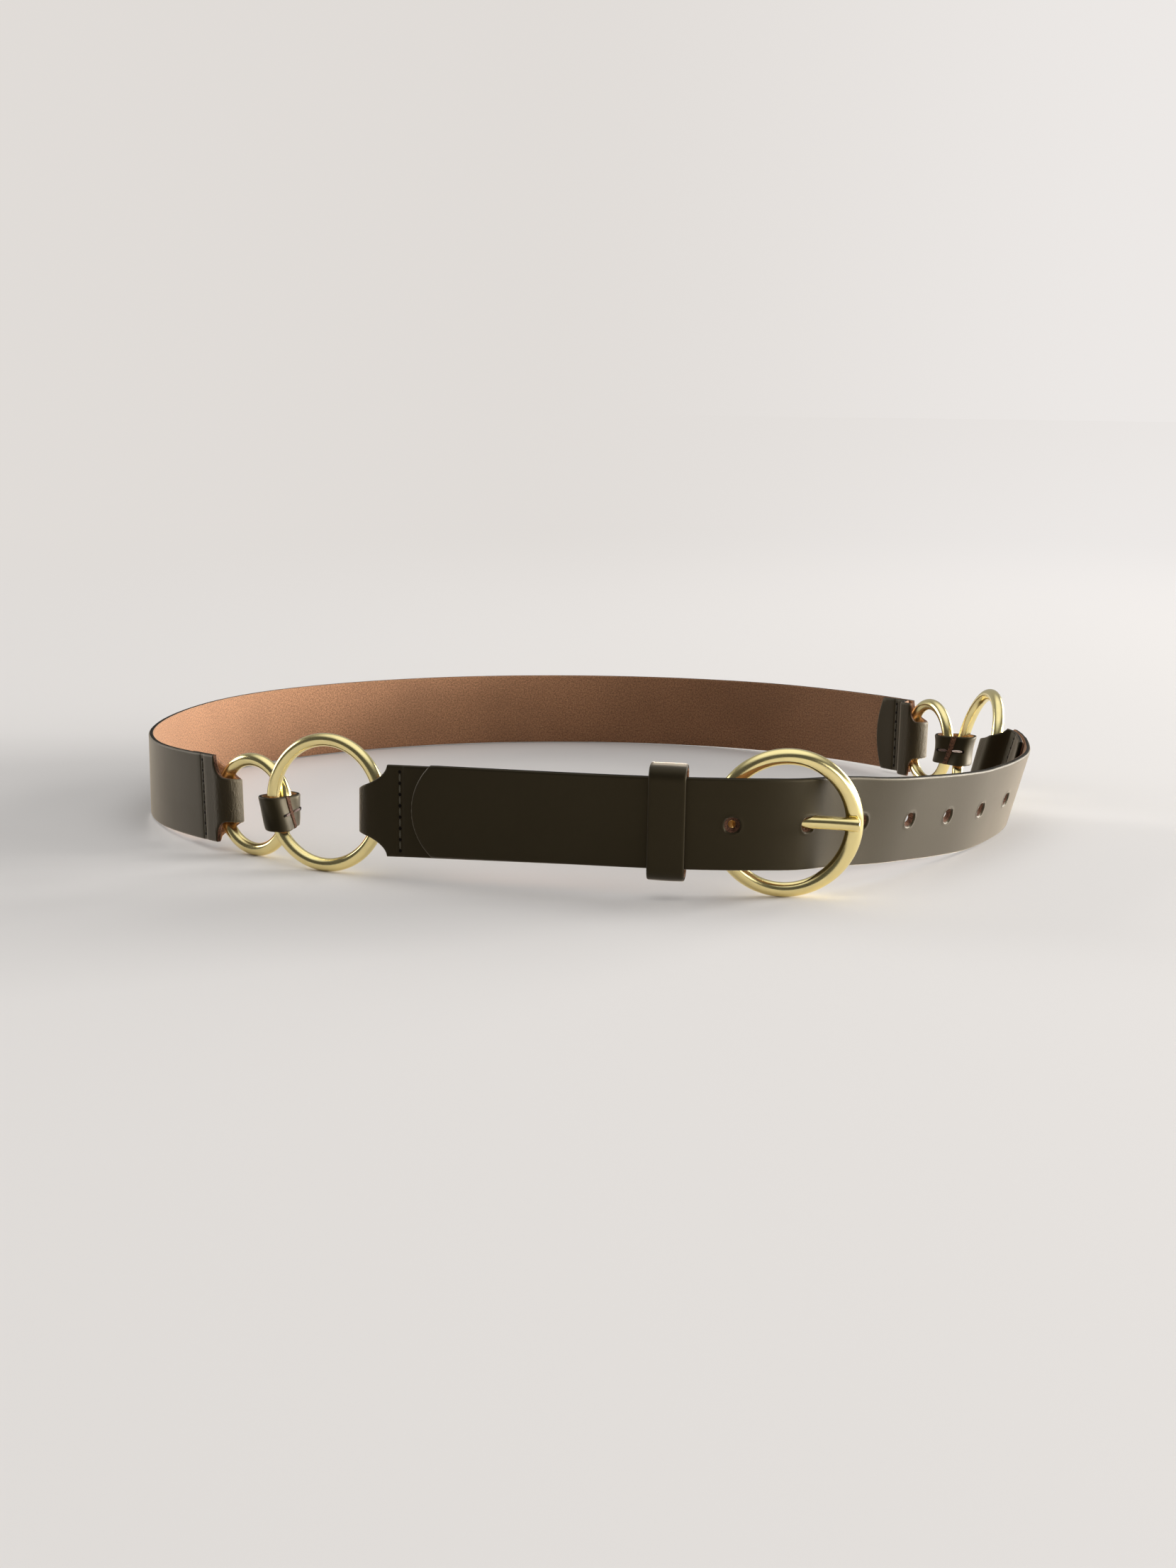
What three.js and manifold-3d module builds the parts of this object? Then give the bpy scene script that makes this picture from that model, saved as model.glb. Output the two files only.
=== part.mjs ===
// Ring belt: three leather straps joined by two pairs of metal rings and closed by a round buckle.
// Millimetres, +Z up, the front of the belt faces -Y. The belt stands on its lower edge at Z = 0,
// and the origin is on that plane, under the middle of the loop.
import * as THREE from "three";
import { mergeVertices } from "three/addons/utils/BufferGeometryUtils.js";
import Module from "manifold-3d";

const wasm = await Module();
wasm.setup();

// Driving dimensions: leather
const STRAP_WIDTH = 30;
const LEATHER = 2;
const LAYER_GAP = 0.35;
const TONGUE_WIDTH = 15;
const NOTCH_START = 3;
const NOTCH_LENGTH = 6.5;
const FLAP_LENGTH = 24.5;
const FLAP_ARC_DEPTH = 3.2;
const FLAP_CLOSE = { after: 1.8, length: 7 };
const TIP_ARC_DEPTH = 6.6;
const FOLD_MARGIN = 12;

// Where a strap is cut across. ARC_CUTS: parts of an arc end's depth. CUTS_TO_FOLD and
// CUTS_ON_FLAP: distances from the beginning of a fold, on the main layer and on the flap.
const STATION_STEP = 5.5;
const FOLD_STEPS = 10;
const ARC_CUTS = [0.03, 0.14, 0.34, 0.62, 1];
const AFTER_TIP = 3;
const CUTS_TO_FOLD = [8, 5.4, 4.3, 3.4, 2.4, 1.2];
const CUTS_ON_FLAP = [1.2, 2.4, 3.4, 4.3, 5.4, 7, 8.5, 10, 12, 15, 18];

// Driving dimensions: metal
const RING_TUBE = 4.4;
const SMALL_RING = 35.4;
const BIG_RING = 46;
const BUCKLE_TUBE = 5.6;
const BUCKLE_RING = 48.8;
const PRONG = 4.4;
const PRONG_LOOP_WALL = 2;
const TUBE_SLACK = 0.9;
const MOVING_GAP = 0.5;
const PRONG_START = { front: 0.6, across: 3.9, rise: 0.2 };
const PRONG_END = { sunk: 0.8, past: 1.2, rise: 0.8, bevel: 0.6 };
const PRONG_SAG = 1.5;
const PRONG_OVERRUN = 1;

// Flat faces that make up the round pieces
const RING_FACES = { round: 10, along: 36 };
const ROUND_FACES = 14;
const CORNER_FACES = 4;
const PRONG_LENGTHS = 7;

// Driving dimensions: holes, keeper and tabs
const HOLE = 5;
const HOLE_COUNT = 7;
const HOLE_PITCH = 25;
const FIRST_HOLE = 100.5;
const USED_HOLE = 1;
const TIP_END = -3.7;
const UNDER_STRAP_DROP = 0.8;
const PRONG_SLOT = { height: 6.4, length: 24 };
const KEEPER = { at: 80.3, width: 11.3, height: 37.6, leather: 1.5, room: 1, tilt: 0.5 };
const TAB = { height: 11, at: 17.7, leather: 1.6, slack: 1, levels: 3 };
const BAND_CORNER = 2.6;
const CORNER_FLAT = 0.2;
const THROUGH_LEATHER = 3 * LEATHER;
const THROUGH_FOLD = 5 * LEATHER + BUCKLE_TUBE;

// Places along the front route where the buckle strap folds round its two rings
const LEFT_FOLD = -18.8;
const BUCKLE_FOLD = 98.5;

// How each ring stands. turn: degrees, the way its flat side runs seen from above.
// side: which side of the held tube its middle is on. lean: degrees, top outwards.
// back: how far the held tube lies back from the end of its fold. inward: how far it lies
// towards the flap from the middle of the fold.
const RING_STANDS = {
  left_big: { turn: -25.3, side: -1, lean: -4.4, back: 2, inward: -0.15 },
  left_small: { turn: -37, side: 1, lean: -0.6, back: 3.1, inward: -0.25 },
  right_small: { turn: 109.8, side: -1, lean: 3, back: 2.9, inward: -0.25 },
  right_big: { turn: 95.2, side: 1, lean: 13.8, back: 2.7, inward: -0.25 },
  buckle: { turn: 0, side: 1, lean: 4.9, back: 2.1, inward: 0 },
};

// The front route runs under the tip strap, from the left big ring to the right big ring.
// heading: degrees from +X towards +Y. height: the strap's middle. lean: degrees, top outwards.
const FRONT_START = { x: -66.63, y: -124.28 };
const FRONT_ROUTE = [
  { at: -15, heading: -15.1, height: 24.1, lean: -3.5 },
  { at: 0, heading: -15.1, height: 24.3, lean: -0.5 },
  { at: 58, heading: -12.8, height: 25, lean: 5.2 },
  { at: 98, heading: -1.1, height: 25.2, lean: 5.7 },
  { at: 110, heading: 8.3, height: 25.1, lean: 6.4 },
  { at: 118, heading: 18.4, height: 24.8, lean: 6.6 },
  { at: 125, heading: 36.5, height: 24.4, lean: 6.7 },
  { at: 132, heading: 43.1, height: 23.9, lean: 6.8 },
  { at: 145, heading: 39.5, height: 22.7, lean: 8.3 },
  { at: 158, heading: 41.2, height: 21.2, lean: 11.4 },
  { at: 178, heading: 50.1, height: 19.2, lean: 13.5 },
  { at: 203, heading: 51.5, height: 16.8, lean: 13.6 },
  { at: 228, heading: 57.4, height: 15.1, lean: 14 },
  { at: 248, heading: 61, height: 14.8, lean: 15.2 },
  { at: 263, heading: 67.3, height: 14.9, lean: 15.4 },
  { at: 274, heading: 76.6, height: 15.3, lean: 14.5 },
  { at: 284, heading: 88.3, height: 16.5, lean: 13 },
  { at: 292, heading: 101.7, height: 17.8, lean: 12.6 },
  { at: 302, heading: 114.8, height: 19.2, lean: 10.8 },
];

// The back route runs from the left small ring round the back to the right small ring
const BACK_START = { x: -125.94, y: -83.23 };
const BACK_ROUTE = [
  { at: 0, heading: 130.7, height: 18.6, lean: -0.2 },
  { at: 35, heading: 121.5, height: 16.6, lean: 0.6 },
  { at: 52, heading: 113.8, height: 15.8, lean: 0.6 },
  { at: 69, heading: 105, height: 15.4, lean: 0.2 },
  { at: 92, heading: 92.5, height: 15.1, lean: 0.3 },
  { at: 122, heading: 80.5, height: 15.1, lean: 0.9 },
  { at: 168, heading: 62.1, height: 15.3, lean: 2.3 },
  { at: 215, heading: 40, height: 15.3, lean: 2.9 },
  { at: 272, heading: 21.8, height: 15.3, lean: 3 },
  { at: 330, heading: 3.6, height: 15.2, lean: 2.6 },
  { at: 388, heading: -15.4, height: 15.3, lean: 1.8 },
  { at: 446, heading: -39, height: 15.9, lean: 1.2 },
  { at: 511.5, heading: -58.4, height: 16.9, lean: 2.1 },
];

const LEATHER_FINISH = { color: 0x2e281c, roughness: 0.42, metalness: 0 };
const METAL_FINISH = { color: 0xd8c27a, roughness: 0.14, metalness: 1 };
const radians = THREE.MathUtils.degToRad;

// Smooth value of one column of a route table, without overshoot between its rows
function column(rows, name, at) {
  const last = rows.length - 1;
  const s = THREE.MathUtils.clamp(at, rows[0].at, rows[last].at);
  let i = 0;
  while (i < last - 1 && s > rows[i + 1].at) i += 1;
  const rise = (k) => (rows[k + 1][name] - rows[k][name]) / (rows[k + 1].at - rows[k].at);
  const slope = (k) => {
    if (k === 0) return rise(0);
    if (k === last) return rise(last - 1);
    const before = rise(k - 1);
    const after = rise(k);
    return before * after <= 0 ? 0 : (2 * before * after) / (before + after);
  };
  const span = rows[i + 1].at - rows[i].at;
  const t = (s - rows[i].at) / span;
  const ease = t * t * (3 - 2 * t);
  const start = t * (1 - t) * (1 - t);
  const end = t * t * (t - 1);
  const between = rows[i][name] + (rows[i + 1][name] - rows[i][name]) * ease;
  return between + span * (start * slope(i) + end * slope(i + 1));
}

// A strap's middle line on the floor plan, with the height and lean of the strap along it
class Route {
  constructor(start, rows, outward) {
    this.rows = rows;
    this.outward = outward;
    this.first = rows[0].at;
    this.last = rows[rows.length - 1].at;
    this.step = 0.5;
    this.points = [new THREE.Vector2(start.x, start.y)];
    for (let s = this.first; s < this.last; s += this.step) {
      const heading = radians(column(rows, "heading", s + this.step / 2));
      const move = new THREE.Vector2(Math.cos(heading), Math.sin(heading)).multiplyScalar(this.step);
      this.points.push(this.points[this.points.length - 1].clone().add(move));
    }
  }

  // The strap's own axes at a length along the route, straight on beyond either end
  frame(at) {
    const s = THREE.MathUtils.clamp(at, this.first, this.last);
    const i = Math.min(Math.floor((s - this.first) / this.step), this.points.length - 2);
    const plan = this.points[i].clone().lerp(this.points[i + 1], (s - this.first) / this.step - i);
    const heading = radians(column(this.rows, "heading", s));
    const climb = column(this.rows, "height", s + 1) - column(this.rows, "height", s - 1);
    const slope = Math.atan(climb / (Math.min(s + 1, this.last) - Math.max(s - 1, this.first)));
    const lean = radians(column(this.rows, "lean", s));
    const flat = new THREE.Vector3(Math.cos(heading), Math.sin(heading), 0);
    const along = flat.clone().multiplyScalar(Math.cos(slope)).setZ(Math.sin(slope));
    const out = new THREE.Vector3(flat.y, -flat.x, 0).multiplyScalar(this.outward);
    const rise = flat.clone().multiplyScalar(-Math.sin(slope)).setZ(Math.cos(slope));
    const up = rise.clone().multiplyScalar(Math.cos(lean)).addScaledVector(out, Math.sin(lean));
    const inward = rise.multiplyScalar(Math.sin(lean)).addScaledVector(out, -Math.cos(lean));
    const point = new THREE.Vector3(plan.x, plan.y, column(this.rows, "height", s));
    return { point: point.addScaledVector(along, at - s), along, inward, up };
  }

  place(at, inward, up) {
    const frame = this.frame(at);
    return frame.point.addScaledVector(frame.inward, inward).addScaledVector(frame.up, up);
  }
}

// Half the height of a convex arc end, at a distance from its furthest point
function arcHalf(distance, depth) {
  const half = STRAP_WIDTH / 2;
  if (distance >= depth) return half;
  const radius = (half * half + depth * depth) / (2 * depth);
  return Math.sqrt(radius * radius - (radius - distance) ** 2);
}

// Half the height beside a fold, from the narrow tongue through the concave notch to full width
function notchHalf(fromFold) {
  const half = STRAP_WIDTH / 2;
  const depth = half - TONGUE_WIDTH / 2;
  const t = THREE.MathUtils.clamp((fromFold - NOTCH_START) / NOTCH_LENGTH, 0, 1);
  return half - depth * Math.sqrt(1 - t * t);
}

// Radius of the middle layer of a fold round a tube
const foldRadius = (tube) => tube / 2 + TUBE_SLACK + LEATHER / 2;

// Stations from the main layer, round a tube and back along the inside to the flap's end.
// x runs on past the strap's end and y runs inwards, both from where the fold begins.
function foldStations(route, at, ahead, base, tube, back) {
  const radius = foldRadius(tube);
  const spread = 2 * radius;
  const layer = LEATHER + LAYER_GAP;
  const closeFrom = back + FLAP_CLOSE.after;
  const spots = [];
  for (const x of CUTS_TO_FOLD) spots.push({ x: -x, y: 0, turn: 0 });
  for (let step = 0; step <= FOLD_STEPS; step += 1) {
    const turn = (Math.PI * step) / FOLD_STEPS;
    spots.push({ x: radius * Math.sin(turn), y: radius * (1 - Math.cos(turn)), turn });
  }
  const cutsAtEnd = ARC_CUTS.map((part) => FLAP_LENGTH - part * FLAP_ARC_DEPTH).reverse();
  for (const x of [...CUTS_ON_FLAP, ...cutsAtEnd]) {
    const t = THREE.MathUtils.clamp((x - closeFrom) / FLAP_CLOSE.length, 0, 1);
    const drop = (spread - layer) * t * t * (3 - 2 * t);
    const fall = ((spread - layer) * 6 * t * (1 - t)) / FLAP_CLOSE.length;
    spots.push({ x: -x, y: spread - drop, turn: Math.PI + Math.atan(fall) });
  }
  const apex = (Math.PI / 2) * radius;
  return spots.map(({ x, y, turn }) => {
    const s = at + ahead * Math.min(x, 0);
    const frame = route.frame(s);
    const forward = frame.along.clone().multiplyScalar(ahead);
    const point = route.place(s, base + y, 0).addScaledVector(forward, Math.max(x, 0));
    const normal = frame.inward.clone().multiplyScalar(Math.cos(turn));
    normal.addScaledVector(forward, -Math.sin(turn));
    const fromFold = x > 0 ? Math.abs(turn - Math.PI / 2) * radius : apex - x;
    const flapHalf = turn > Math.PI / 2 ? arcHalf(FLAP_LENGTH + x, FLAP_ARC_DEPTH) : STRAP_WIDTH / 2;
    return { point, normal, up: frame.up, half: Math.min(notchHalf(fromFold), flapHalf) };
  });
}

// Stations of a strap's main layer, at even steps between two lengths along its route
function layerStations(route, from, to, base) {
  const count = Math.max(1, Math.round((to - from) / STATION_STEP));
  const stations = [];
  for (let i = 0; i <= count; i += 1) {
    const frame = route.frame(from + ((to - from) * i) / count);
    const point = frame.point.clone().addScaledVector(frame.inward, base);
    stations.push({ point, normal: frame.inward, up: frame.up, half: STRAP_WIDTH / 2 });
  }
  return stations;
}

// Whether the faces point out: the volume summed over them is then positive
function facesOut(geometry) {
  const position = geometry.getAttribute("position");
  const index = geometry.getIndex();
  const corner = (k) => new THREE.Vector3().fromBufferAttribute(position, index.getX(k));
  let sum = 0;
  for (let k = 0; k < index.count; k += 3) {
    sum += corner(k).dot(corner(k + 1).cross(corner(k + 2)));
  }
  return sum > 0;
}

// Keep only the places of the corners, so that faces share them
function welded(geometry) {
  const bare = geometry.clone();
  bare.deleteAttribute("normal");
  bare.deleteAttribute("uv");
  const merged = mergeVertices(bare, 1e-4);
  if (!facesOut(merged)) {
    const index = merged.getIndex();
    for (let k = 0; k < index.count; k += 3) {
      const first = index.getX(k);
      index.setX(k, index.getX(k + 2));
      index.setX(k + 2, first);
    }
  }
  return merged;
}

// A flat blank with one cut across it for each station, bent so that every cut meets its station
function bentStrap(stations) {
  const blank = new THREE.BoxGeometry(1, 1, 1, stations.length - 1, 1, 1);
  const position = blank.getAttribute("position");
  for (let k = 0; k < position.count; k += 1) {
    const number = Math.round((position.getX(k) + 0.5) * (stations.length - 1));
    const { point, normal, up, half } = stations[number];
    const corner = point.clone().addScaledVector(normal, position.getZ(k) * LEATHER);
    corner.addScaledVector(up, 2 * half * position.getY(k));
    position.setXYZ(k, corner.x, corner.y, corner.z);
  }
  return welded(blank);
}

function solid(geometry) {
  const vertProperties = Float32Array.from(geometry.getAttribute("position").array);
  const triVerts = Uint32Array.from(geometry.getIndex().array);
  return new wasm.Manifold(new wasm.Mesh({ numProp: 3, vertProperties, triVerts }));
}

function geometryOf(body) {
  const mesh = body.getMesh();
  const geometry = new THREE.BufferGeometry();
  geometry.setAttribute("position", new THREE.BufferAttribute(mesh.vertProperties, 3));
  geometry.setIndex(new THREE.BufferAttribute(mesh.triVerts, 1));
  return geometry;
}

// Put a geometry made along its own X, Y and Z onto three directions at a point
function set(geometry, xAxis, yAxis, zAxis, point) {
  const matrix = new THREE.Matrix4().makeBasis(xAxis, yAxis, zAxis).setPosition(point);
  return welded(geometry.applyMatrix4(matrix));
}

// A ring held at one side of its tube, standing with its lowest point on the floor plane
function heldRing(hold, { turn, side, lean }, outer, tube) {
  const radius = (outer - tube) / 2;
  const middle = radius * Math.cos(radians(lean)) + tube / 2;
  const reach = Math.sqrt(radius * radius - (middle - hold.z) ** 2);
  const across = new THREE.Vector3(Math.cos(radians(turn)), Math.sin(radians(turn)), 0);
  const centre = hold.clone().addScaledVector(across, side * reach).setZ(middle);
  const out = new THREE.Vector3(across.y, -across.x, 0);
  const up = new THREE.Vector3(0, 0, Math.cos(radians(lean))).addScaledVector(out, Math.sin(radians(lean)));
  return { centre, across, up, front: new THREE.Vector3().crossVectors(across, up), radius, tube };
}

function ringGeometry({ centre, across, up, front, radius, tube }) {
  const ring = new THREE.TorusGeometry(radius, tube / 2, RING_FACES.round, RING_FACES.along);
  return set(ring, across, up, front, centre);
}

// The middle of a ring's tube at its left (-1) or right (1) side
const tubeAt = (ring, side) => ring.centre.clone().addScaledVector(ring.across, side * ring.radius);

function roundedOutline(length, width, corner) {
  const shape = new THREE.Shape();
  const x = length / 2 - corner;
  const y = width / 2 - corner;
  shape.absarc(x, y, corner, 0, Math.PI / 2);
  shape.absarc(-x, y, corner, Math.PI / 2, Math.PI);
  shape.absarc(-x, -y, corner, Math.PI, 1.5 * Math.PI);
  shape.absarc(x, -y, corner, 1.5 * Math.PI, 2 * Math.PI);
  shape.closePath();
  return shape;
}

// A closed leather band: a rounded outline with a rounded hole, as deep as the band is wide
function bandGeometry(length, width, leather, depth, steps) {
  const corner = Math.min(width / 2 - CORNER_FLAT, BAND_CORNER);
  const shape = roundedOutline(length + 2 * leather, width + 2 * leather, corner + leather);
  shape.holes.push(roundedOutline(length, width, corner));
  const settings = { depth, steps, bevelEnabled: false, curveSegments: CORNER_FACES };
  return new THREE.ExtrudeGeometry(shape, settings).translate(0, 0, -depth / 2);
}

const front = new Route(FRONT_START, FRONT_ROUTE, 1);
const back = new Route(BACK_START, BACK_ROUTE, -1);
const UNDER = LEATHER + LAYER_GAP;

// Where the tube of a ring lies in the fold of a strap's end
function holdPoint(route, at, ahead, base, tube, { back, inward }) {
  return route.place(at - ahead * back, base + foldRadius(tube) + inward, 0);
}

const bigHold = holdPoint(front, LEFT_FOLD, -1, UNDER, RING_TUBE, RING_STANDS.left_big);
const buckleHold = holdPoint(front, BUCKLE_FOLD, 1, UNDER, BUCKLE_TUBE, RING_STANDS.buckle);
const tipHold = holdPoint(front, front.last, 1, 0, RING_TUBE, RING_STANDS.right_big);
const leftHold = holdPoint(back, back.first, -1, 0, RING_TUBE, RING_STANDS.left_small);
const rightHold = holdPoint(back, back.last, 1, 0, RING_TUBE, RING_STANDS.right_small);

const leftBig = heldRing(bigHold, RING_STANDS.left_big, BIG_RING, RING_TUBE);
const leftSmall = heldRing(leftHold, RING_STANDS.left_small, SMALL_RING, RING_TUBE);
const rightSmall = heldRing(rightHold, RING_STANDS.right_small, SMALL_RING, RING_TUBE);
const rightBig = heldRing(tipHold, RING_STANDS.right_big, BIG_RING, RING_TUBE);
const buckle = heldRing(buckleHold, RING_STANDS.buckle, BUCKLE_RING, BUCKLE_TUBE);

// Back strap: flap, fold, main layer, fold and flap in one piece of leather
function backStrap() {
  return bentStrap([
    ...foldStations(back, back.first, -1, 0, RING_TUBE, RING_STANDS.left_small.back).reverse(),
    ...layerStations(back, back.first + FOLD_MARGIN, back.last - FOLD_MARGIN, 0),
    ...foldStations(back, back.last, 1, 0, RING_TUBE, RING_STANDS.right_small.back),
  ]);
}

// The prong, from its loop round the buckle's left tube to its seat on the right tube
const prongLine = (() => {
  const from = tubeAt(buckle, -1).addScaledVector(buckle.front, PRONG_START.front);
  from.addScaledVector(buckle.across, PRONG_START.across).addScaledVector(buckle.up, PRONG_START.rise);
  const seat = BUCKLE_TUBE / 2 + PRONG / 2 - PRONG_END.sunk;
  const to = tubeAt(buckle, 1).addScaledVector(buckle.front, seat);
  to.addScaledVector(buckle.across, PRONG_END.past).addScaledVector(buckle.up, PRONG_END.rise);
  const along = to.clone().sub(from).normalize();
  const side = new THREE.Vector3().crossVectors(buckle.up, along).normalize();
  return { from, to, along, side, up: new THREE.Vector3().crossVectors(along, side) };
})();

// A round bar on the prong's line, sagging a little in the middle, with a bevelled end
function prongBar(radius, overrun) {
  const { from, to, along, side, up } = prongLine;
  const length = from.distanceTo(to) + overrun;
  const bevelFrom = length - PRONG_END.bevel;
  const profile = [new THREE.Vector2(0, 0)];
  for (let row = 0; row <= PRONG_LENGTHS; row += 1) {
    profile.push(new THREE.Vector2(radius, (bevelFrom * row) / PRONG_LENGTHS));
  }
  profile.push(new THREE.Vector2(radius - PRONG_END.bevel, length), new THREE.Vector2(0, length));
  const bar = new THREE.LatheGeometry(profile, ROUND_FACES);
  const position = bar.getAttribute("position");
  for (let k = 0; k < position.count; k += 1) {
    const t = position.getY(k) / length;
    position.setX(k, position.getX(k) + 4 * PRONG_SAG * t * (1 - t));
  }
  return solid(set(bar, side, along, up.clone().negate(), from));
}

function prong() {
  const inner = BUCKLE_TUBE / 2 + MOVING_GAP;
  const ring = new THREE.Shape().absarc(0, 0, inner + PRONG_LOOP_WALL, 0, 2 * Math.PI);
  ring.holes.push(new THREE.Path().absarc(0, 0, inner, 0, 2 * Math.PI));
  const settings = { depth: PRONG, bevelEnabled: false, curveSegments: ROUND_FACES };
  const loop = new THREE.ExtrudeGeometry(ring, settings).translate(0, 0, -PRONG / 2);
  const behind = buckle.front.clone().negate();
  const body = solid(set(loop, buckle.across, behind, buckle.up, tubeAt(buckle, -1)));
  return geometryOf(body.add(prongBar(PRONG / 2, 0)));
}

// The ring is filed down a little where the prong rests on it
function buckleRing() {
  const seat = prongBar(PRONG / 2 + MOVING_GAP, PRONG_OVERRUN);
  return geometryOf(solid(ringGeometry(buckle)).subtract(seat));
}

// Tip strap: arc tip, main layer with the punched holes, fold round the right big ring and flap
function tipStrap() {
  const tip = ARC_CUTS.map((part) => {
    const frame = front.frame(TIP_END + part * TIP_ARC_DEPTH);
    const half = arcHalf(part * TIP_ARC_DEPTH, TIP_ARC_DEPTH);
    return { point: frame.point, normal: frame.inward, up: frame.up, half };
  });
  let strap = solid(bentStrap([
    ...tip,
    ...layerStations(front, TIP_END + TIP_ARC_DEPTH + AFTER_TIP, front.last - FOLD_MARGIN, 0),
    ...foldStations(front, front.last, 1, 0, RING_TUBE, RING_STANDS.right_big.back),
  ]));
  for (let hole = 0; hole < HOLE_COUNT; hole += 1) {
    const frame = front.frame(FIRST_HOLE + hole * HOLE_PITCH);
    const punch = new THREE.CylinderGeometry(HOLE / 2, HOLE / 2, THROUGH_LEATHER, ROUND_FACES);
    const cutter = set(punch, frame.along, frame.inward, frame.up.clone().negate(), frame.point);
    strap = strap.subtract(solid(cutter));
    if (hole === USED_HOLE) strap = strap.subtract(prongBar(PRONG / 2 + MOVING_GAP, PRONG_OVERRUN));
  }
  return geometryOf(strap);
}

// Buckle strap: it lies under the tip strap, folded round the left big ring and the buckle,
// with a slot through its buckle fold that lets the prong's loop turn
function buckleStrap() {
  const stations = [
    ...foldStations(front, LEFT_FOLD, -1, UNDER, RING_TUBE, RING_STANDS.left_big.back).reverse(),
    ...layerStations(front, LEFT_FOLD + FOLD_MARGIN, BUCKLE_FOLD - FOLD_MARGIN, UNDER),
    ...foldStations(front, BUCKLE_FOLD, 1, UNDER, BUCKLE_TUBE, RING_STANDS.buckle.back),
  ];
  for (const station of stations) station.point.addScaledVector(station.up, -UNDER_STRAP_DROP);
  const slot = new THREE.BoxGeometry(PRONG_SLOT.length, PRONG_SLOT.height, THROUGH_FOLD);
  const cutter = set(slot, buckle.across, buckle.up, buckle.front, tubeAt(buckle, -1));
  return geometryOf(solid(bentStrap(stations)).subtract(solid(cutter)));
}

// Keeper: a loose leather loop round the tip strap and both layers of the buckle strap
function keeper() {
  const frame = front.frame(KEEPER.at);
  const depth = 3 * LEATHER + 2 * LAYER_GAP + KEEPER.room;
  const height = KEEPER.height - 2 * KEEPER.leather;
  const band = bandGeometry(height, depth, KEEPER.leather, KEEPER.width, 1);
  const centre = frame.point.clone().addScaledVector(frame.inward, LEATHER + LAYER_GAP);
  centre.addScaledVector(frame.up, -UNDER_STRAP_DROP / 2);
  const up = frame.up.clone().applyAxisAngle(frame.inward, radians(KEEPER.tilt));
  const along = frame.along.clone().applyAxisAngle(frame.inward, radians(KEEPER.tilt));
  return set(band, up, new THREE.Vector3().crossVectors(along, up), along, centre);
}

// The middle of a ring's tube at a height on one side
function tubePoint(ring, side, height) {
  const rise = (height - ring.centre.z) / (ring.radius * ring.up.z);
  const reach = side * ring.radius * Math.sqrt(1 - rise ** 2);
  const point = ring.centre.clone().addScaledVector(ring.across, reach);
  return point.addScaledVector(ring.up, ring.radius * rise);
}

// Tab: a short strip wrapped round the tubes of two rings, following both tubes level by level
function tab(ringA, sideA, ringB, sideB) {
  const span = tubePoint(ringB, sideB, TAB.at).distanceTo(tubePoint(ringA, sideA, TAB.at));
  const width = RING_TUBE + 2 * TAB.slack;
  const band = bandGeometry(span + width, width, TAB.leather, TAB.height, TAB.levels);
  const position = band.getAttribute("position");
  for (let k = 0; k < position.count; k += 1) {
    const level = TAB.at + position.getZ(k);
    const from = tubePoint(ringA, sideA, level);
    const to = tubePoint(ringB, sideB, level);
    const along = to.clone().sub(from).setZ(0).normalize();
    const past = position.getX(k) + span / 2;
    const share = THREE.MathUtils.clamp(past / span, 0, 1);
    const corner = from.lerp(to, share).addScaledVector(along, past - share * span);
    corner.addScaledVector(new THREE.Vector3(-along.y, along.x, 0), position.getY(k));
    position.setXYZ(k, corner.x, corner.y, corner.z);
  }
  return welded(band);
}

const belt = new THREE.Group();

function addPiece(name, geometry, finish) {
  geometry.computeVertexNormals();
  const mesh = new THREE.Mesh(geometry, new THREE.MeshStandardMaterial(finish));
  mesh.name = name;
  belt.add(mesh);
}

addPiece("back_strap", backStrap(), LEATHER_FINISH);
addPiece("tip_strap", tipStrap(), LEATHER_FINISH);
addPiece("buckle_strap", buckleStrap(), LEATHER_FINISH);
addPiece("keeper", keeper(), LEATHER_FINISH);
addPiece("tab_left", tab(leftBig, -1, leftSmall, 1), LEATHER_FINISH);
addPiece("tab_right", tab(rightSmall, -1, rightBig, 1), LEATHER_FINISH);
addPiece("buckle_ring", buckleRing(), METAL_FINISH);
addPiece("prong", prong(), METAL_FINISH);
addPiece("ring_left_big", ringGeometry(leftBig), METAL_FINISH);
addPiece("ring_left_small", ringGeometry(leftSmall), METAL_FINISH);
addPiece("ring_right_small", ringGeometry(rightSmall), METAL_FINISH);
addPiece("ring_right_big", ringGeometry(rightBig), METAL_FINISH);

export default belt;
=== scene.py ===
"""Ring belt: satin leather straps, polished rings and a round buckle, fastened on a pale floor.

The tables give lengths in millimetres and angles in degrees. Everything placed in Blender is in
metres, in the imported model's frame: +Z up, the belt's front towards -Y, the origin on the floor.
"""

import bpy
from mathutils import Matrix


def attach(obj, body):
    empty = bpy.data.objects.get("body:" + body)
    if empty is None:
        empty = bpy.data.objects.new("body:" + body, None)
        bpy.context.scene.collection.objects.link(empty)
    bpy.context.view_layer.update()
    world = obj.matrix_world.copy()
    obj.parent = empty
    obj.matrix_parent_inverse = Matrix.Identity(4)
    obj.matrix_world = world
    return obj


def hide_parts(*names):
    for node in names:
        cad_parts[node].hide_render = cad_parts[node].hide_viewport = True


bl_info = {
    "name": "Ring Belt",
    "version": (1, 0, 0),
    "blender": (4, 5, 0),
    "location": "View3D > Sidebar > Ring Belt",
    "description": "Builds a fastened leather ring belt with its buckle, keeper, tabs, stitches and studio",
    "category": "Add Mesh",
}

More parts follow.
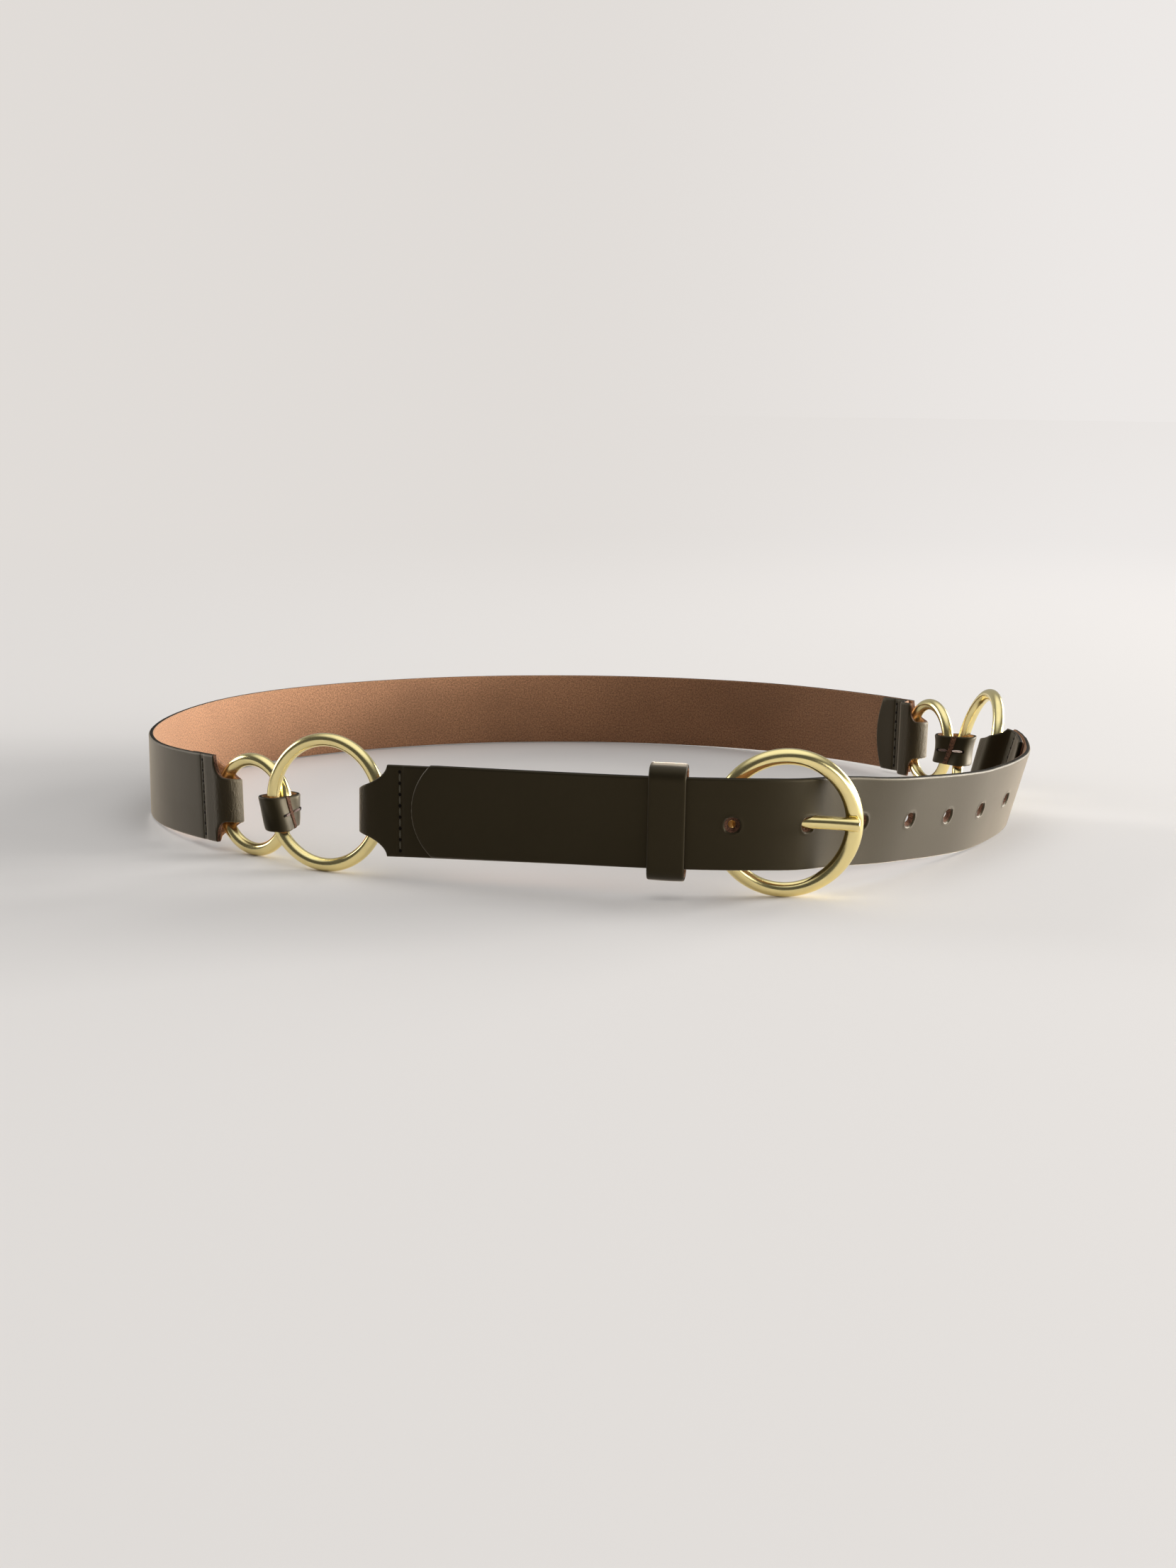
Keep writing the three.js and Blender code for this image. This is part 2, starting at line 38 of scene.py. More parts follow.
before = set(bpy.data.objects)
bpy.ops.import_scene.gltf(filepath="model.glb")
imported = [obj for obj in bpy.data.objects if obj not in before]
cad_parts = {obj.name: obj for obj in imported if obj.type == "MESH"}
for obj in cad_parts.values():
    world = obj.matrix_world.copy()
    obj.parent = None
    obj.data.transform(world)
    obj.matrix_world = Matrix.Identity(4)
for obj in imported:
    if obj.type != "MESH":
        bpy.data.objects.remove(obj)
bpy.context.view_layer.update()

import math
from collections import namedtuple

import bmesh
import bpy
from bpy.props import FloatProperty, FloatVectorProperty, PointerProperty
from bpy.types import Operator, Panel, PropertyGroup
from mathutils import Matrix, Vector

MM = 0.001

# Leather sizes
STRAP_WIDTH = 30.0
LEATHER = 2.0
LAYER_GAP = 0.35
TONGUE_WIDTH = 15.0
FLAP_LENGTH = 24.5
FLAP_ARC_DEPTH = 3.2
FLAP_CLOSE_AFTER = 0.6
FLAP_CLOSE_LENGTH = 5.4
TIP_END = -3.7
TIP_ARC_DEPTH = 6.6
UNDER_STRAP_DROP = 0.8
EDGE_ROUNDING = 0.5
EDGE_THINNING = 0.42
GROOVE_DEPTH = 0.2
GROOVE_HALF_WIDTH = 1.45
BEND_REACH = 6.5
COLUMN_STEP = 2.4

# Stitches
THREAD = 0.62
NEEDLE_HOLE = 1.15
TAB_THREAD = 1.0
TAB_NEEDLE_HOLE = 1.3
STITCH_MARGIN = 3.4

# Keeper and tabs
KEEPER_AT = 80.15
KEEPER_WIDTH = 11.8
KEEPER_HEIGHT = 37.6
KEEPER_LEATHER = 1.5
KEEPER_ROOM = 1.0
KEEPER_TILT = 1.3
TAB_HEIGHT = 11.0
TAB_MIDDLE = 17.7
TAB_LEATHER = 1.6
TAB_SLACK = 1.0
TAB_SEAM = 0.85
TAB_FLARE = 0.55
BAND_CORNER = 2.6

# Metal sizes
RING_TUBE = 4.4
SMALL_RING = 35.4
BIG_RING = 46.0
BUCKLE_TUBE = 5.6
BUCKLE_RING = 48.8
BUCKLE_WAIST = 0.885
PRONG = 4.3
PRONG_LOOP_WALL = 2.0
TUBE_SLACK = 0.9
MOVING_GAP = 0.5
PRONG_ROOM = 0.12
PRONG_SAG = 2.6
PRONG_SEAT_GAP = 0.08

# Holes
HOLE = 5.0
HOLE_COUNT = 7
HOLE_PITCH = 25.0
FIRST_HOLE = 100.5
HOLE_RAG = 0.5
HOLE_RAG_REACH = 0.7
HOLE_LIP = 0.16
HOLE_LIP_AWAY = 0.55
HOLE_LIP_WIDTH = 0.35
PUNCH_PATCH = 4.0

# Folds along the front route
LEFT_FOLD = -18.8
BUCKLE_FOLD = 98.5

# How each ring stands. turn: the way its flat side runs seen from above. side: which side of
# the held tube its middle is on. lean: top outwards. back: how far the held tube lies back from
# the end of its fold. inward: how far it lies towards the flap from the middle of the fold.
Stand = namedtuple("Stand", "turn side lean back inward")
STANDS = {
    "left_big": Stand(-25.3, -1, -4.4, 2.0, -0.15),
    "left_small": Stand(-37.0, 1, -0.6, 3.1, -0.25),
    "right_small": Stand(109.8, -1, 3.0, 2.9, -0.25),
    "right_big": Stand(95.2, 1, 13.8, 2.7, -0.25),
    "buckle": Stand(0.0, 1, 4.9, 2.1, 0.0),
}

# Routes of the straps on the floor plan, with the height of the strap's middle and its lean
Row = namedtuple("Row", "at heading height lean")
FRONT_START = (-66.63, -124.28)
FRONT_ROUTE = [
    Row(-15, -15.1, 24.1, -3.5),
    Row(0, -15.1, 24.3, -0.5),
    Row(58, -12.8, 25, 5.2),
    Row(98, -1.1, 25.2, 5.7),
    Row(110, 8.3, 25.1, 6.4),
    Row(118, 18.4, 24.8, 6.6),
    Row(125, 36.5, 24.4, 6.7),
    Row(132, 43.1, 23.9, 6.8),
    Row(145, 39.5, 22.7, 8.3),
    Row(158, 41.2, 21.2, 11.4),
    Row(178, 50.1, 19.2, 13.5),
    Row(203, 51.5, 16.8, 13.6),
    Row(228, 57.4, 15.1, 14),
    Row(248, 61, 14.8, 15.2),
    Row(263, 67.3, 14.9, 15.4),
    Row(274, 76.6, 15.3, 14.5),
    Row(284, 88.3, 16.5, 13),
    Row(292, 101.7, 17.8, 12.6),
    Row(302, 114.8, 19.2, 10.8),
]
BACK_START = (-125.94, -83.23)
BACK_ROUTE = [
    Row(0, 130.7, 18.6, -0.2),
    Row(35, 121.5, 16.6, 0.6),
    Row(52, 113.8, 15.8, 0.6),
    Row(69, 105, 15.4, 0.2),
    Row(92, 92.5, 15.1, 0.3),
    Row(122, 80.5, 15.1, 0.9),
    Row(168, 62.1, 15.3, 2.3),
    Row(215, 40, 15.3, 2.9),
    Row(272, 21.8, 15.3, 3),
    Row(330, 3.6, 15.2, 2.6),
    Row(388, -15.4, 15.3, 1.8),
    Row(446, -39, 15.9, 1.2),
    Row(511.5, -58.4, 16.9, 2.1),
]

# Soft boxes, in metres
Lamp = namedtuple("Lamp", "name place width height watts")
LAMPS = [
    Lamp("box_front_right", (2.25, -2.25, 0.72), 1.2, 1.2, 18.0),
    Lamp("box_right", (3.15, -0.9, 0.4), 1.5, 0.7, 62.0),
    Lamp("box_far_right", (3.3, 0.7, 0.35), 1.5, 0.6, 225.0),
    Lamp("box_back_right", (2.85, 2.1, 0.9), 1.8, 1.5, 64.0),
    Lamp("box_back_left", (-3.3, 1.5, 1.05), 1.5, 1.5, 48.0),
]

# Colours of the glowing backdrop at its left and right; the brighter right is painted light from the lamps
# on the right
BACKDROP_LEFT = (0.75, 0.716, 0.686)
BACKDROP_RIGHT_PAINTED_LIGHT = (0.85, 0.82, 0.80)

# The camera as fitted to the photo: its place, how far it looks down, and its roll
CAMERA_PLACE = (0.96, -798.79, 161.73)
CAMERA_PITCH = 10.804
CAMERA_ROLL = 0.627

# Faces of a leather piece
GRAIN_SIDE, FLESH_SIDE, PAINTED_EDGE, CUT_EDGE = range(4)

# Edges bent further than this stay sharp, and corners closer than WELD metres become one
SHARP_ANGLE = 40.0
PRONG_SHARP_ANGLE = 50.0
NEVER_SHARP = 180.0
WELD = 1e-6


class BeltLeather(PropertyGroup):
    """Colours and surface of the leather and its thread"""

    grain_colour: FloatVectorProperty(
        name="Grain side",
        description="Colour of the satin outer side",
        default=(0.0045, 0.003, 0.0011),
        subtype="COLOR",
        size=3,
        min=0.0,
        max=1.0,
    )
    flesh_colour: FloatVectorProperty(
        name="Flesh side",
        description="Colour of the napped inner side",
        default=(0.37, 0.183, 0.092),
        subtype="COLOR",
        size=3,
        min=0.0,
        max=1.0,
    )
    cut_colour: FloatVectorProperty(
        name="Cut edge",
        description="Colour of the unpainted cut edges and hole walls",
        default=(0.14, 0.066, 0.038),
        subtype="COLOR",
        size=3,
        min=0.0,
        max=1.0,
    )
    thread_colour: FloatVectorProperty(
        name="Thread",
        description="Colour of the waxed thread",
        default=(0.075, 0.064, 0.036),
        subtype="COLOR",
        size=3,
        min=0.0,
        max=1.0,
    )
    stitch_pitch: FloatProperty(
        name="Stitch pitch",
        description="Distance from one stitch to the next",
        unit="LENGTH",
        min=0.002,
        max=0.008,
        default=0.0037,
    )
    stitch_length: FloatProperty(
        name="Stitch length",
        description="Length of one stitch between its needle holes",
        unit="LENGTH",
        min=0.001,
        max=0.006,
        default=0.0026,
    )


class BeltMetal(PropertyGroup):
    """Colour and polish of the rings, the buckle and the prong"""

    colour: FloatVectorProperty(
        name="Metal",
        description="Colour of the polished metal",
        default=(0.95, 0.80, 0.38),
        subtype="COLOR",
        size=3,
        min=0.0,
        max=1.0,
    )
    polish: FloatProperty(
        name="Roughness",
        description="Roughness of the polished metal, lower is shinier",
        min=0.02,
        max=0.6,
        default=0.21,
    )


class BeltStage(PropertyGroup):
    """Floor, light and camera"""

    floor_colour: FloatVectorProperty(
        name="Floor",
        description="Colour of the pale floor",
        default=(0.78, 0.742, 0.708),
        subtype="COLOR",
        size=3,
        min=0.0,
        max=1.0,
    )
    light: FloatProperty(
        name="Studio lights",
        description="Strength of all the lamps, 1 as in the photo",
        min=0.0,
        default=1.0,
    )
    overhead: FloatProperty(
        name="Overhead glow",
        description="Brightness of the white ceiling",
        min=0.0,
        default=1.05,
    )
    backdrop: FloatProperty(
        name="Backdrop glow",
        description="Brightness of the white wall behind the belt, as it lights the belt",
        min=0.0,
        default=0.3,
    )
    lens: FloatProperty(
        name="Lens",
        description="Focal length of the camera, in millimetres",
        min=20.0,
        max=120.0,
        default=48.84,
    )


# ---- Routes and folds ----


def clamp(value, low=0.0, high=1.0):
    return min(max(value, low), high)


def ease(t):
    return t * t * (3 - 2 * t)


def column(rows, name, at):
    """Smooth value of one column of a route table, without overshoot between its rows"""
    last = len(rows) - 1
    s = clamp(at, rows[0].at, rows[last].at)
    i = 0
    while i < last - 1 and s > rows[i + 1].at:
        i += 1

    def rise(k):
        return (getattr(rows[k + 1], name) - getattr(rows[k], name)) / (rows[k + 1].at - rows[k].at)

    def slope(k):
        if k == 0:
            return rise(0)
        if k == last:
            return rise(last - 1)
        before, after = rise(k - 1), rise(k)
        return 0.0 if before * after <= 0 else 2 * before * after / (before + after)

    span = rows[i + 1].at - rows[i].at
    t = (s - rows[i].at) / span
    here, there = getattr(rows[i], name), getattr(rows[i + 1], name)
    between = here + (there - here) * ease(t)
    return between + span * (t * (1 - t) ** 2 * slope(i) + t * t * (t - 1) * slope(i + 1))


Spot = namedtuple("Spot", "point along inward up")


class Route:
    """A strap's middle line on the floor plan, with the strap's own axes along it"""

    STEP = 0.5

    def __init__(self, start, rows, outward):
        self.rows = rows
        self.outward = outward
        self.first = rows[0].at
        self.last = rows[-1].at
        self.points = [Vector(start)]
        s = self.first
        while s < self.last:
            heading = math.radians(column(rows, "heading", s + self.STEP / 2))
            move = Vector((math.cos(heading), math.sin(heading))) * self.STEP
            self.points.append(self.points[-1] + move)
            s += self.STEP

    def spot(self, at):
        """The strap's axes at a length along the route, straight on beyond either end"""
        s = clamp(at, self.first, self.last)
        i = min(int((s - self.first) // self.STEP), len(self.points) - 2)
        plan = self.points[i].lerp(self.points[i + 1], (s - self.first) / self.STEP - i)
        heading = math.radians(column(self.rows, "heading", s))
        climb = column(self.rows, "height", s + 1) - column(self.rows, "height", s - 1)
        slope = math.atan(climb / (min(s + 1, self.last) - max(s - 1, self.first)))
        lean = math.radians(column(self.rows, "lean", s))
        flat = Vector((math.cos(heading), math.sin(heading), 0))
        along = flat * math.cos(slope) + Vector((0, 0, math.sin(slope)))
        out = Vector((flat.y, -flat.x, 0)) * self.outward
        rise = flat * -math.sin(slope) + Vector((0, 0, math.cos(slope)))
        up = rise * math.cos(lean) + out * math.sin(lean)
        inward = rise * math.sin(lean) - out * math.cos(lean)
        point = Vector((plan.x, plan.y, column(self.rows, "height", s))) + along * (at - s)
        return Spot(point, along, inward, up)


# start and length: from the furthest line of a fold, along the leather. straight: how much of the
# notch's outline is a straight slope, the rest is a quarter of an ellipse.
Notch = namedtuple("Notch", "start length straight")

# main and flap: the notches in either layer. sink: how much lower the flap's side lies, as a part
# of its distance from the main layer.
Fold = namedtuple("Fold", "at ahead tube back stitch_row main flap sink")


def fold_radius(tube):
    """Radius of the middle layer of a fold round a tube"""
    return tube / 2 + TUBE_SLACK + LEATHER / 2


def past_fold(fold, s):
    return fold.ahead * (s - fold.at)


def past_apex(fold, s):
    """Distance along the leather from the furthest line of a fold, negative on the main layer"""
    return past_fold(fold, s) - math.pi / 2 * fold_radius(fold.tube)


def notch_at(fold, s):
    return fold.flap if past_apex(fold, s) > 0 else fold.main


def in_notch(fold, s):
    notch = notch_at(fold, s)
    return abs(past_apex(fold, s)) < notch.start + notch.length + 0.3


def arc_half(distance, depth):
    """Half the height of a convex arc end, at a distance from its furthest point"""
    half = STRAP_WIDTH / 2
    if distance >= depth:
        return half
    radius = (half * half + depth * depth) / (2 * depth)
    return math.sqrt(max(radius * radius - (radius - distance) ** 2, 0.0))


def notch_half(fold, s):
    """Half the height beside a fold, from the narrow tongue through the notch to full width"""
    narrow = TONGUE_WIDTH / 2
    notch = notch_at(fold, s)
    t = clamp((abs(past_apex(fold, s)) - notch.start) / notch.length)
    rise = notch.straight * t + (1 - notch.straight) * (1 - math.sqrt(1 - t * t))
    return narrow + (STRAP_WIDTH / 2 - narrow) * rise


Lie = namedtuple("Lie", "point through up")


class StrapLay:
    """How one strap's flat blank lies: along its route, and folded round a ring at its ends"""

    def __init__(self, route, base, drop, folds, tip=None):
        self.route = route
        self.base = base
        self.drop = drop
        self.folds = folds
        self.tip = tip
        self.known = {}

    def flap_end(self, fold):
        return fold.at + fold.ahead * (math.pi * fold_radius(fold.tube) + FLAP_LENGTH)

    def span(self):
        ends = [self.flap_end(fold) for fold in self.folds]
        if self.tip is not None:
            ends.append(self.tip)
        return min(ends), max(ends)

    def half(self, s):
        """Half the height of the blank at a length"""
        result = STRAP_WIDTH / 2
        for fold in self.folds:
            left = fold.ahead * (self.flap_end(fold) - s)
            result = min(result, notch_half(fold, s), arc_half(max(left, 0.0), FLAP_ARC_DEPTH))
        if self.tip is not None:
            result = min(result, arc_half(max(s - self.tip, 0.0), TIP_ARC_DEPTH))
        return result

    def lie(self, s):
        """Middle of the leather at a blank length, with its through and up directions"""
        key = round(s, 4)
        if key not in self.known:
            self.known[key] = self.find_lie(s)
        return self.known[key]

    def find_lie(self, s):
        for fold in self.folds:
            if past_fold(fold, s) > 0:
                return self.folded(fold, past_fold(fold, s))
        spot = self.route.spot(s)
        point = spot.point + spot.inward * self.base - spot.up * self.drop
        return Lie(point, spot.inward, spot.up)

    def folded(self, fold, past):
        """Round the tube, then back along the main layer as a flap that closes up to it"""
        radius = fold_radius(fold.tube)
        if past <= math.pi * radius:
            turn = past / radius
            x, y = radius * math.sin(turn), radius * (1 - math.cos(turn))
        else:
            x = math.pi * radius - past
            gap = 2 * radius - LEATHER - LAYER_GAP
            t = clamp((-x - fold.back - FLAP_CLOSE_AFTER) / FLAP_CLOSE_LENGTH)
            y = 2 * radius - gap * ease(t)
            turn = math.pi + math.atan(gap * 6 * t * (1 - t) / FLAP_CLOSE_LENGTH)
        spot = self.route.spot(fold.at + fold.ahead * min(x, 0.0))
        forward = spot.along * fold.ahead
        point = spot.point + spot.inward * (self.base + y) - spot.up * (self.drop + fold.sink * y)
        point += forward * max(x, 0.0)
        return Lie(point, spot.inward * math.cos(turn) - forward * math.sin(turn), spot.up)

    def place(self, s, h, through):
        """A point of the bent strap, in metres, from its place on the flat blank"""
        lie = self.lie(s)
        return (lie.point + lie.through * through + lie.up * h) * MM


# ---- Rings, as held by their folds ----

Ring = namedtuple("Ring", "centre across up front radius")


def held_ring(route, at, ahead, base, stand, outer, tube):
    """A ring held in a fold at one side of its tube, standing on the floor"""
    spot = route.spot(at - ahead * stand.back)
    hold = spot.point + spot.inward * (base + fold_radius(tube) + stand.inward)
    lean = math.radians(stand.lean)
    turn = math.radians(stand.turn)
    radius = (outer - tube) / 2
    middle = radius * math.cos(lean) + tube / 2
    reach = math.sqrt(radius * radius - (middle - hold.z) ** 2)
    across = Vector((math.cos(turn), math.sin(turn), 0))
    centre = hold + across * (stand.side * reach)
    centre.z = middle
    out = Vector((across.y, -across.x, 0))
    up = Vector((0, 0, math.cos(lean))) + out * math.sin(lean)
    return Ring(centre, across, up, across.cross(up), radius)


def tube_at(ring, side):
    return ring.centre + ring.across * (side * ring.radius)


def tube_point(ring, side, height):
    """Middle of a ring's tube at a height on one side"""
    rise = (height - ring.centre.z) / (ring.radius * ring.up.z)
    reach = side * ring.radius * math.sqrt(1 - rise * rise)
    return ring.centre + ring.across * reach + ring.up * (ring.radius * rise)


front = Route(FRONT_START, FRONT_ROUTE, 1)
back = Route(BACK_START, BACK_ROUTE, -1)
UNDER = LEATHER + LAYER_GAP

RINGS = {
    "left_big": held_ring(front, LEFT_FOLD, -1, UNDER, STANDS["left_big"], BIG_RING, RING_TUBE),
    "left_small": held_ring(back, back.first, -1, 0, STANDS["left_small"], SMALL_RING, RING_TUBE),
    "right_small": held_ring(back, back.last, 1, 0, STANDS["right_small"], SMALL_RING, RING_TUBE),
    "right_big": held_ring(front, front.last, 1, 0, STANDS["right_big"], BIG_RING, RING_TUBE),
    "buckle": held_ring(front, BUCKLE_FOLD, 1, UNDER, STANDS["buckle"], BUCKLE_RING, BUCKLE_TUBE),
}


def fold_round(name, at, ahead, stitch_row, main, flap, sink=0.0):
    """A fold round a named ring. stitch_row: how far its stitches are from where it begins."""
    tube = BUCKLE_TUBE if name == "buckle" else RING_TUBE
    return Fold(at, ahead, tube, STANDS[name].back, stitch_row, Notch(*main), Notch(*flap), sink)


BACK_FOLDS = [
    fold_round("left_small", back.first, -1, 8.0, (2.5, 4.6, 0.0), (4.0, 9.4, 0.15), 0.18),
    fold_round("right_small", back.last, 1, 13.3, (4.0, 9.3, 0.15), (2.6, 2.8, 0.0)),
]
TIP_FOLDS = [fold_round("right_big", front.last, 1, 12.0, (2.0, 10.0, 0.3), (2.0, 11.0, 0.3))]
BUCKLE_FOLDS = [
    fold_round("left_big", LEFT_FOLD, -1, 10.5, (2.0, 10.3, 0.3), (2.0, 10.3, 0.3), 0.19),
    fold_round("buckle", BUCKLE_FOLD, 1, 13.0, (3.0, 7.5, 0.0), (3.0, 8.5, 0.0), 0.3),
]
BACK_LAY = StrapLay(back, 0, 0, BACK_FOLDS)
TIP_LAY = StrapLay(front, 0, 0, TIP_FOLDS, TIP_END)
BUCKLE_LAY = StrapLay(front, UNDER, UNDER_STRAP_DROP, BUCKLE_FOLDS)


def prong_line():
    """From the prong's loop on the buckle's left tube to its seat on the right tube"""
    ring = RINGS["buckle"]
    start = tube_at(ring, -1) + ring.front * 0.6 + ring.across * 3.9 + ring.up * 0.2
    seat = BUCKLE_TUBE / 2 + PRONG / 2 - 0.8
    end = tube_at(ring, 1) + ring.front * seat + ring.across * 1.2 + ring.up * 0.8
    along = (end - start).normalized()
    return start, end, along, ring.up.cross(along).normalized()


def prong_sag(t):
    return 4 * PRONG_SAG * t * (1 - t)


# ---- Node groups and materials ----


def wire(tree, source, target):
    """Feed a socket from another one, or set it to a plain number or colour"""
    if isinstance(source, (int, float)):
        target.default_value = source
    elif isinstance(source, tuple):
        target.default_value = (*source, 1.0)
    else:
        tree.links.new(source, target)


def add_node(tree, kind, inputs=None, **settings):
    """A node with its settings made, and its inputs fed by number, colour or socket"""
    made = tree.nodes.new(kind)
    for key, value in settings.items():
        setattr(made, key, value)
    for label, source in (inputs or {}).items():
        wire(tree, source, made.inputs[label])
    return made


def math_node(tree, operation, *values):
    """The result of a Math node"""
    return add_node(tree, "ShaderNodeMath", dict(enumerate(values)), operation=operation).outputs[0]


def noise_node(tree, vector, scale, detail=3.0, rough=0.5, distortion=0.0):
    inputs = {"Vector": vector, "Scale": scale, "Detail": detail}
    inputs.update({"Roughness": rough, "Distortion": distortion})
    return add_node(tree, "ShaderNodeTexNoise", inputs).outputs["Fac"]


def band_node(tree, value, low, high, to_low=0.0, to_high=1.0, kind="SMOOTHSTEP"):
    """A value spread from one range to another"""
    inputs = {"Value": value, "From Min": low, "From Max": high}
    inputs.update({"To Min": to_low, "To Max": to_high})
    return add_node(tree, "ShaderNodeMapRange", inputs, interpolation_type=kind).outputs["Result"]


def mix_colours(tree, mask, first, second):
    """A colour between two colours or colour sockets, by a mask"""
    inputs = {0: mask, 6: first, 7: second}
    return add_node(tree, "ShaderNodeMix", inputs, data_type="RGBA").outputs[2]


def stretched(tree, vector, scale, turn=(0.0, 0.0, 0.0)):
    """A pattern's coordinate drawn out and turned, about the object's own axes"""
    made = add_node(tree, "ShaderNodeMapping", {"Vector": vector})
    made.inputs["Scale"].default_value = scale
    made.inputs["Rotation"].default_value = turn
    return made.outputs["Vector"]


def parts_of(tree, vector):
    return add_node(tree, "ShaderNodeSeparateXYZ", {0: vector}).outputs


def make_pores(tree, vector, scale):
    """Fine pores and soft pebbles of a smooth, finished grain side"""
    inputs = {"Vector": vector, "Scale": scale, "Smoothness": 0.6}
    pebbles = add_node(tree, "ShaderNodeTexVoronoi", inputs, feature="SMOOTH_F1")
    dust = noise_node(tree, vector, math_node(tree, "MULTIPLY", scale, 2.7), 2.0)
    height = math_node(tree, "MULTIPLY_ADD", pebbles.outputs["Distance"], -0.7, dust)
    return height, band_node(tree, dust, 0.3, 0.7)


def make_nap(tree, vector, scale):
    """Short fibres of the flesh side, light on their tips and dark between"""
    fine = noise_node(tree, vector, scale, 4.0, 0.72)
    coarse = noise_node(tree, vector, math_node(tree, "MULTIPLY", scale, 0.45), 3.0, 0.6)
    both = math_node(tree, "MULTIPLY_ADD", coarse, 0.55, math_node(tree, "MULTIPLY", fine, 0.75))
    return both, band_node(tree, both, 0.46, 0.86)


def make_smudge(tree, vector, scale):
    """Broad cloudy variation from handling"""
    return (band_node(tree, noise_node(tree, vector, scale, 3.0, 0.55, 0.3), 0.3, 0.7),)


def make_creases(tree, vector, bend, scale):
    """Wrinkles that run along a fold, only where the leather was bent"""
    lines = noise_node(tree, stretched(tree, vector, (1.0, 0.28, 1.0)), scale, 4.0, 0.6, 0.8)
    ridged = math_node(tree, "ABSOLUTE", math_node(tree, "SUBTRACT", lines, 0.5))
    return (math_node(tree, "MULTIPLY", ridged, math_node(tree, "MULTIPLY", bend, 2.0)),)


def make_fibres(tree, vector, scale):
    """Torn fibres of an unpainted cut edge"""
    tufts = noise_node(tree, vector, scale, 5.0, 0.7, 0.6)
    return tufts, band_node(tree, tufts, 0.38, 0.66)


def make_rubbing(tree, vector, scale):
    """Hairline rubbing marks of polished metal, in patches"""
    drawn = stretched(tree, vector, (1.0, 1.0, 0.12), (0.5, 0.35, 0.2))
    hair = noise_node(tree, drawn, scale, 2.0, 0.5)
    patch = noise_node(tree, vector, math_node(tree, "MULTIPLY", scale, 0.02))
    return (math_node(tree, "MULTIPLY", hair, patch),)


# Shared surface effects: the numbers each one reads, the results it gives, and its maker
EFFECTS = {
    "leather_pores": ({"Pebble Scale": 2000.0}, ("Height", "Tone"), make_pores),
    "flesh_side_nap": ({"Fibre Scale": 2600.0}, ("Height", "Speckle"), make_nap),
    "handling_smudge": ({"Cloud Scale": 30.0}, ("Mask",), make_smudge),
    "fold_creases": ({"Bend": 0.0, "Crease Scale": 900.0}, ("Height",), make_creases),
    "cut_edge_fibres": ({"Fibre Scale": 2500.0}, ("Height", "Mask"), make_fibres),
    "metal_rubbing": ({"Hair Scale": 2500.0}, ("Height",), make_rubbing),
}


def effect_group(name):
    """A shared effect's node group, built once, when it is first asked for"""
    if name in bpy.data.node_groups:
        return bpy.data.node_groups[name]
    numbers, results, make = EFFECTS[name]
    group = bpy.data.node_groups.new(name, "ShaderNodeTree")
    socket = group.interface.new_socket
    socket("Vector", in_out="INPUT", socket_type="NodeSocketVector")
    for label, value in numbers.items():
        socket(label, in_out="INPUT", socket_type="NodeSocketFloat").default_value = value
    for label in results:
        socket(label, in_out="OUTPUT", socket_type="NodeSocketFloat")
    entry = add_node(group, "NodeGroupInput").outputs[: 1 + len(numbers)]
    leave = add_node(group, "NodeGroupOutput").inputs
    for result, target in zip(make(group, *entry), leave):
        wire(group, result, target)
    return group


class Surface:
    """A material with its Principled shader, a coordinate and the shared effects at hand"""

    def __init__(self, name, coordinate="Object"):
        self.material = bpy.data.materials.new(name)
        self.material.use_nodes = True
        self.tree = self.material.node_tree
        self.shader = self.tree.nodes["Principled BSDF"]
        if coordinate == "UV":
            self.vector = add_node(self.tree, "ShaderNodeUVMap", uv_map="blank").outputs["UV"]
        else:
            self.vector = add_node(self.tree, "ShaderNodeTexCoord").outputs["Object"]

    def effect(self, name, *numbers):
        """The results of a shared effect, its numbers in the order of the table"""
        inputs = dict(enumerate((self.vector, *numbers)))
        made = add_node(self.tree, "ShaderNodeGroup", inputs, node_tree=effect_group(name))
        return made.outputs

    def mix(self, mask, first, second):
        return mix_colours(self.tree, mask, first, second)

    def spread(self, mask, low, high):
        """A number from low to high, by a mask"""
        return band_node(self.tree, mask, 0.0, 1.0, low, high, "LINEAR")

    def relief(self, height, distance, strength, **under):
        """The normal of a Bump node, over the Normal of another one where it is given"""
        inputs = {"Height": height, "Distance": distance, "Strength": strength, **under}
        return add_node(self.tree, "ShaderNodeBump", inputs).outputs["Normal"]

    def set(self, **values):
        """Feed the shader's own sockets"""
        for label, value in values.items():
            wire(self.tree, value, self.shader.inputs[label.replace("_", " ")])


def shade(colour, factor):
    return tuple(min(channel * factor, 1.0) for channel in colour)


def grain_side_material(colour):
    """Satin outer side: near-black olive brown, fine pores, wrinkled where it is folded"""
    s = Surface("satin_grain_side", "UV")
    pores = s.effect("leather_pores", 1700.0)
    clouds = s.effect("handling_smudge", 45.0)["Mask"]
    bend = add_node(s.tree, "ShaderNodeAttribute", attribute_name="bend").outputs["Fac"]
    creases = s.effect("fold_creases", bend, 750.0)
    clouded = s.mix(clouds, shade(colour, 0.82), shade(colour, 1.25))
    dusted = s.mix(pores["Tone"], clouded, shade(colour, 1.15))
    # the colour turns lighter towards the bend of each fold
    lighter_at_bend = math_node(s.tree, "MULTIPLY", bend, 0.55)
    fine = s.relief(pores["Height"], 0.00003, 0.35)
    s.set(
        Base_Color=s.mix(lighter_at_bend, dusted, (0.03, 0.0225, 0.016)),
        Roughness=s.spread(clouds, 0.48, 0.54),
        IOR=1.5,
        Specular_IOR_Level=0.42,
        Specular_Tint=(1.0, 0.8, 0.45),
        Sheen_Weight=0.95,
        Sheen_Roughness=0.33,
        Sheen_Tint=(1.0, 0.85, 0.66),
        Normal=s.relief(creases["Height"], 0.00035, 0.8, Normal=fine),
    )


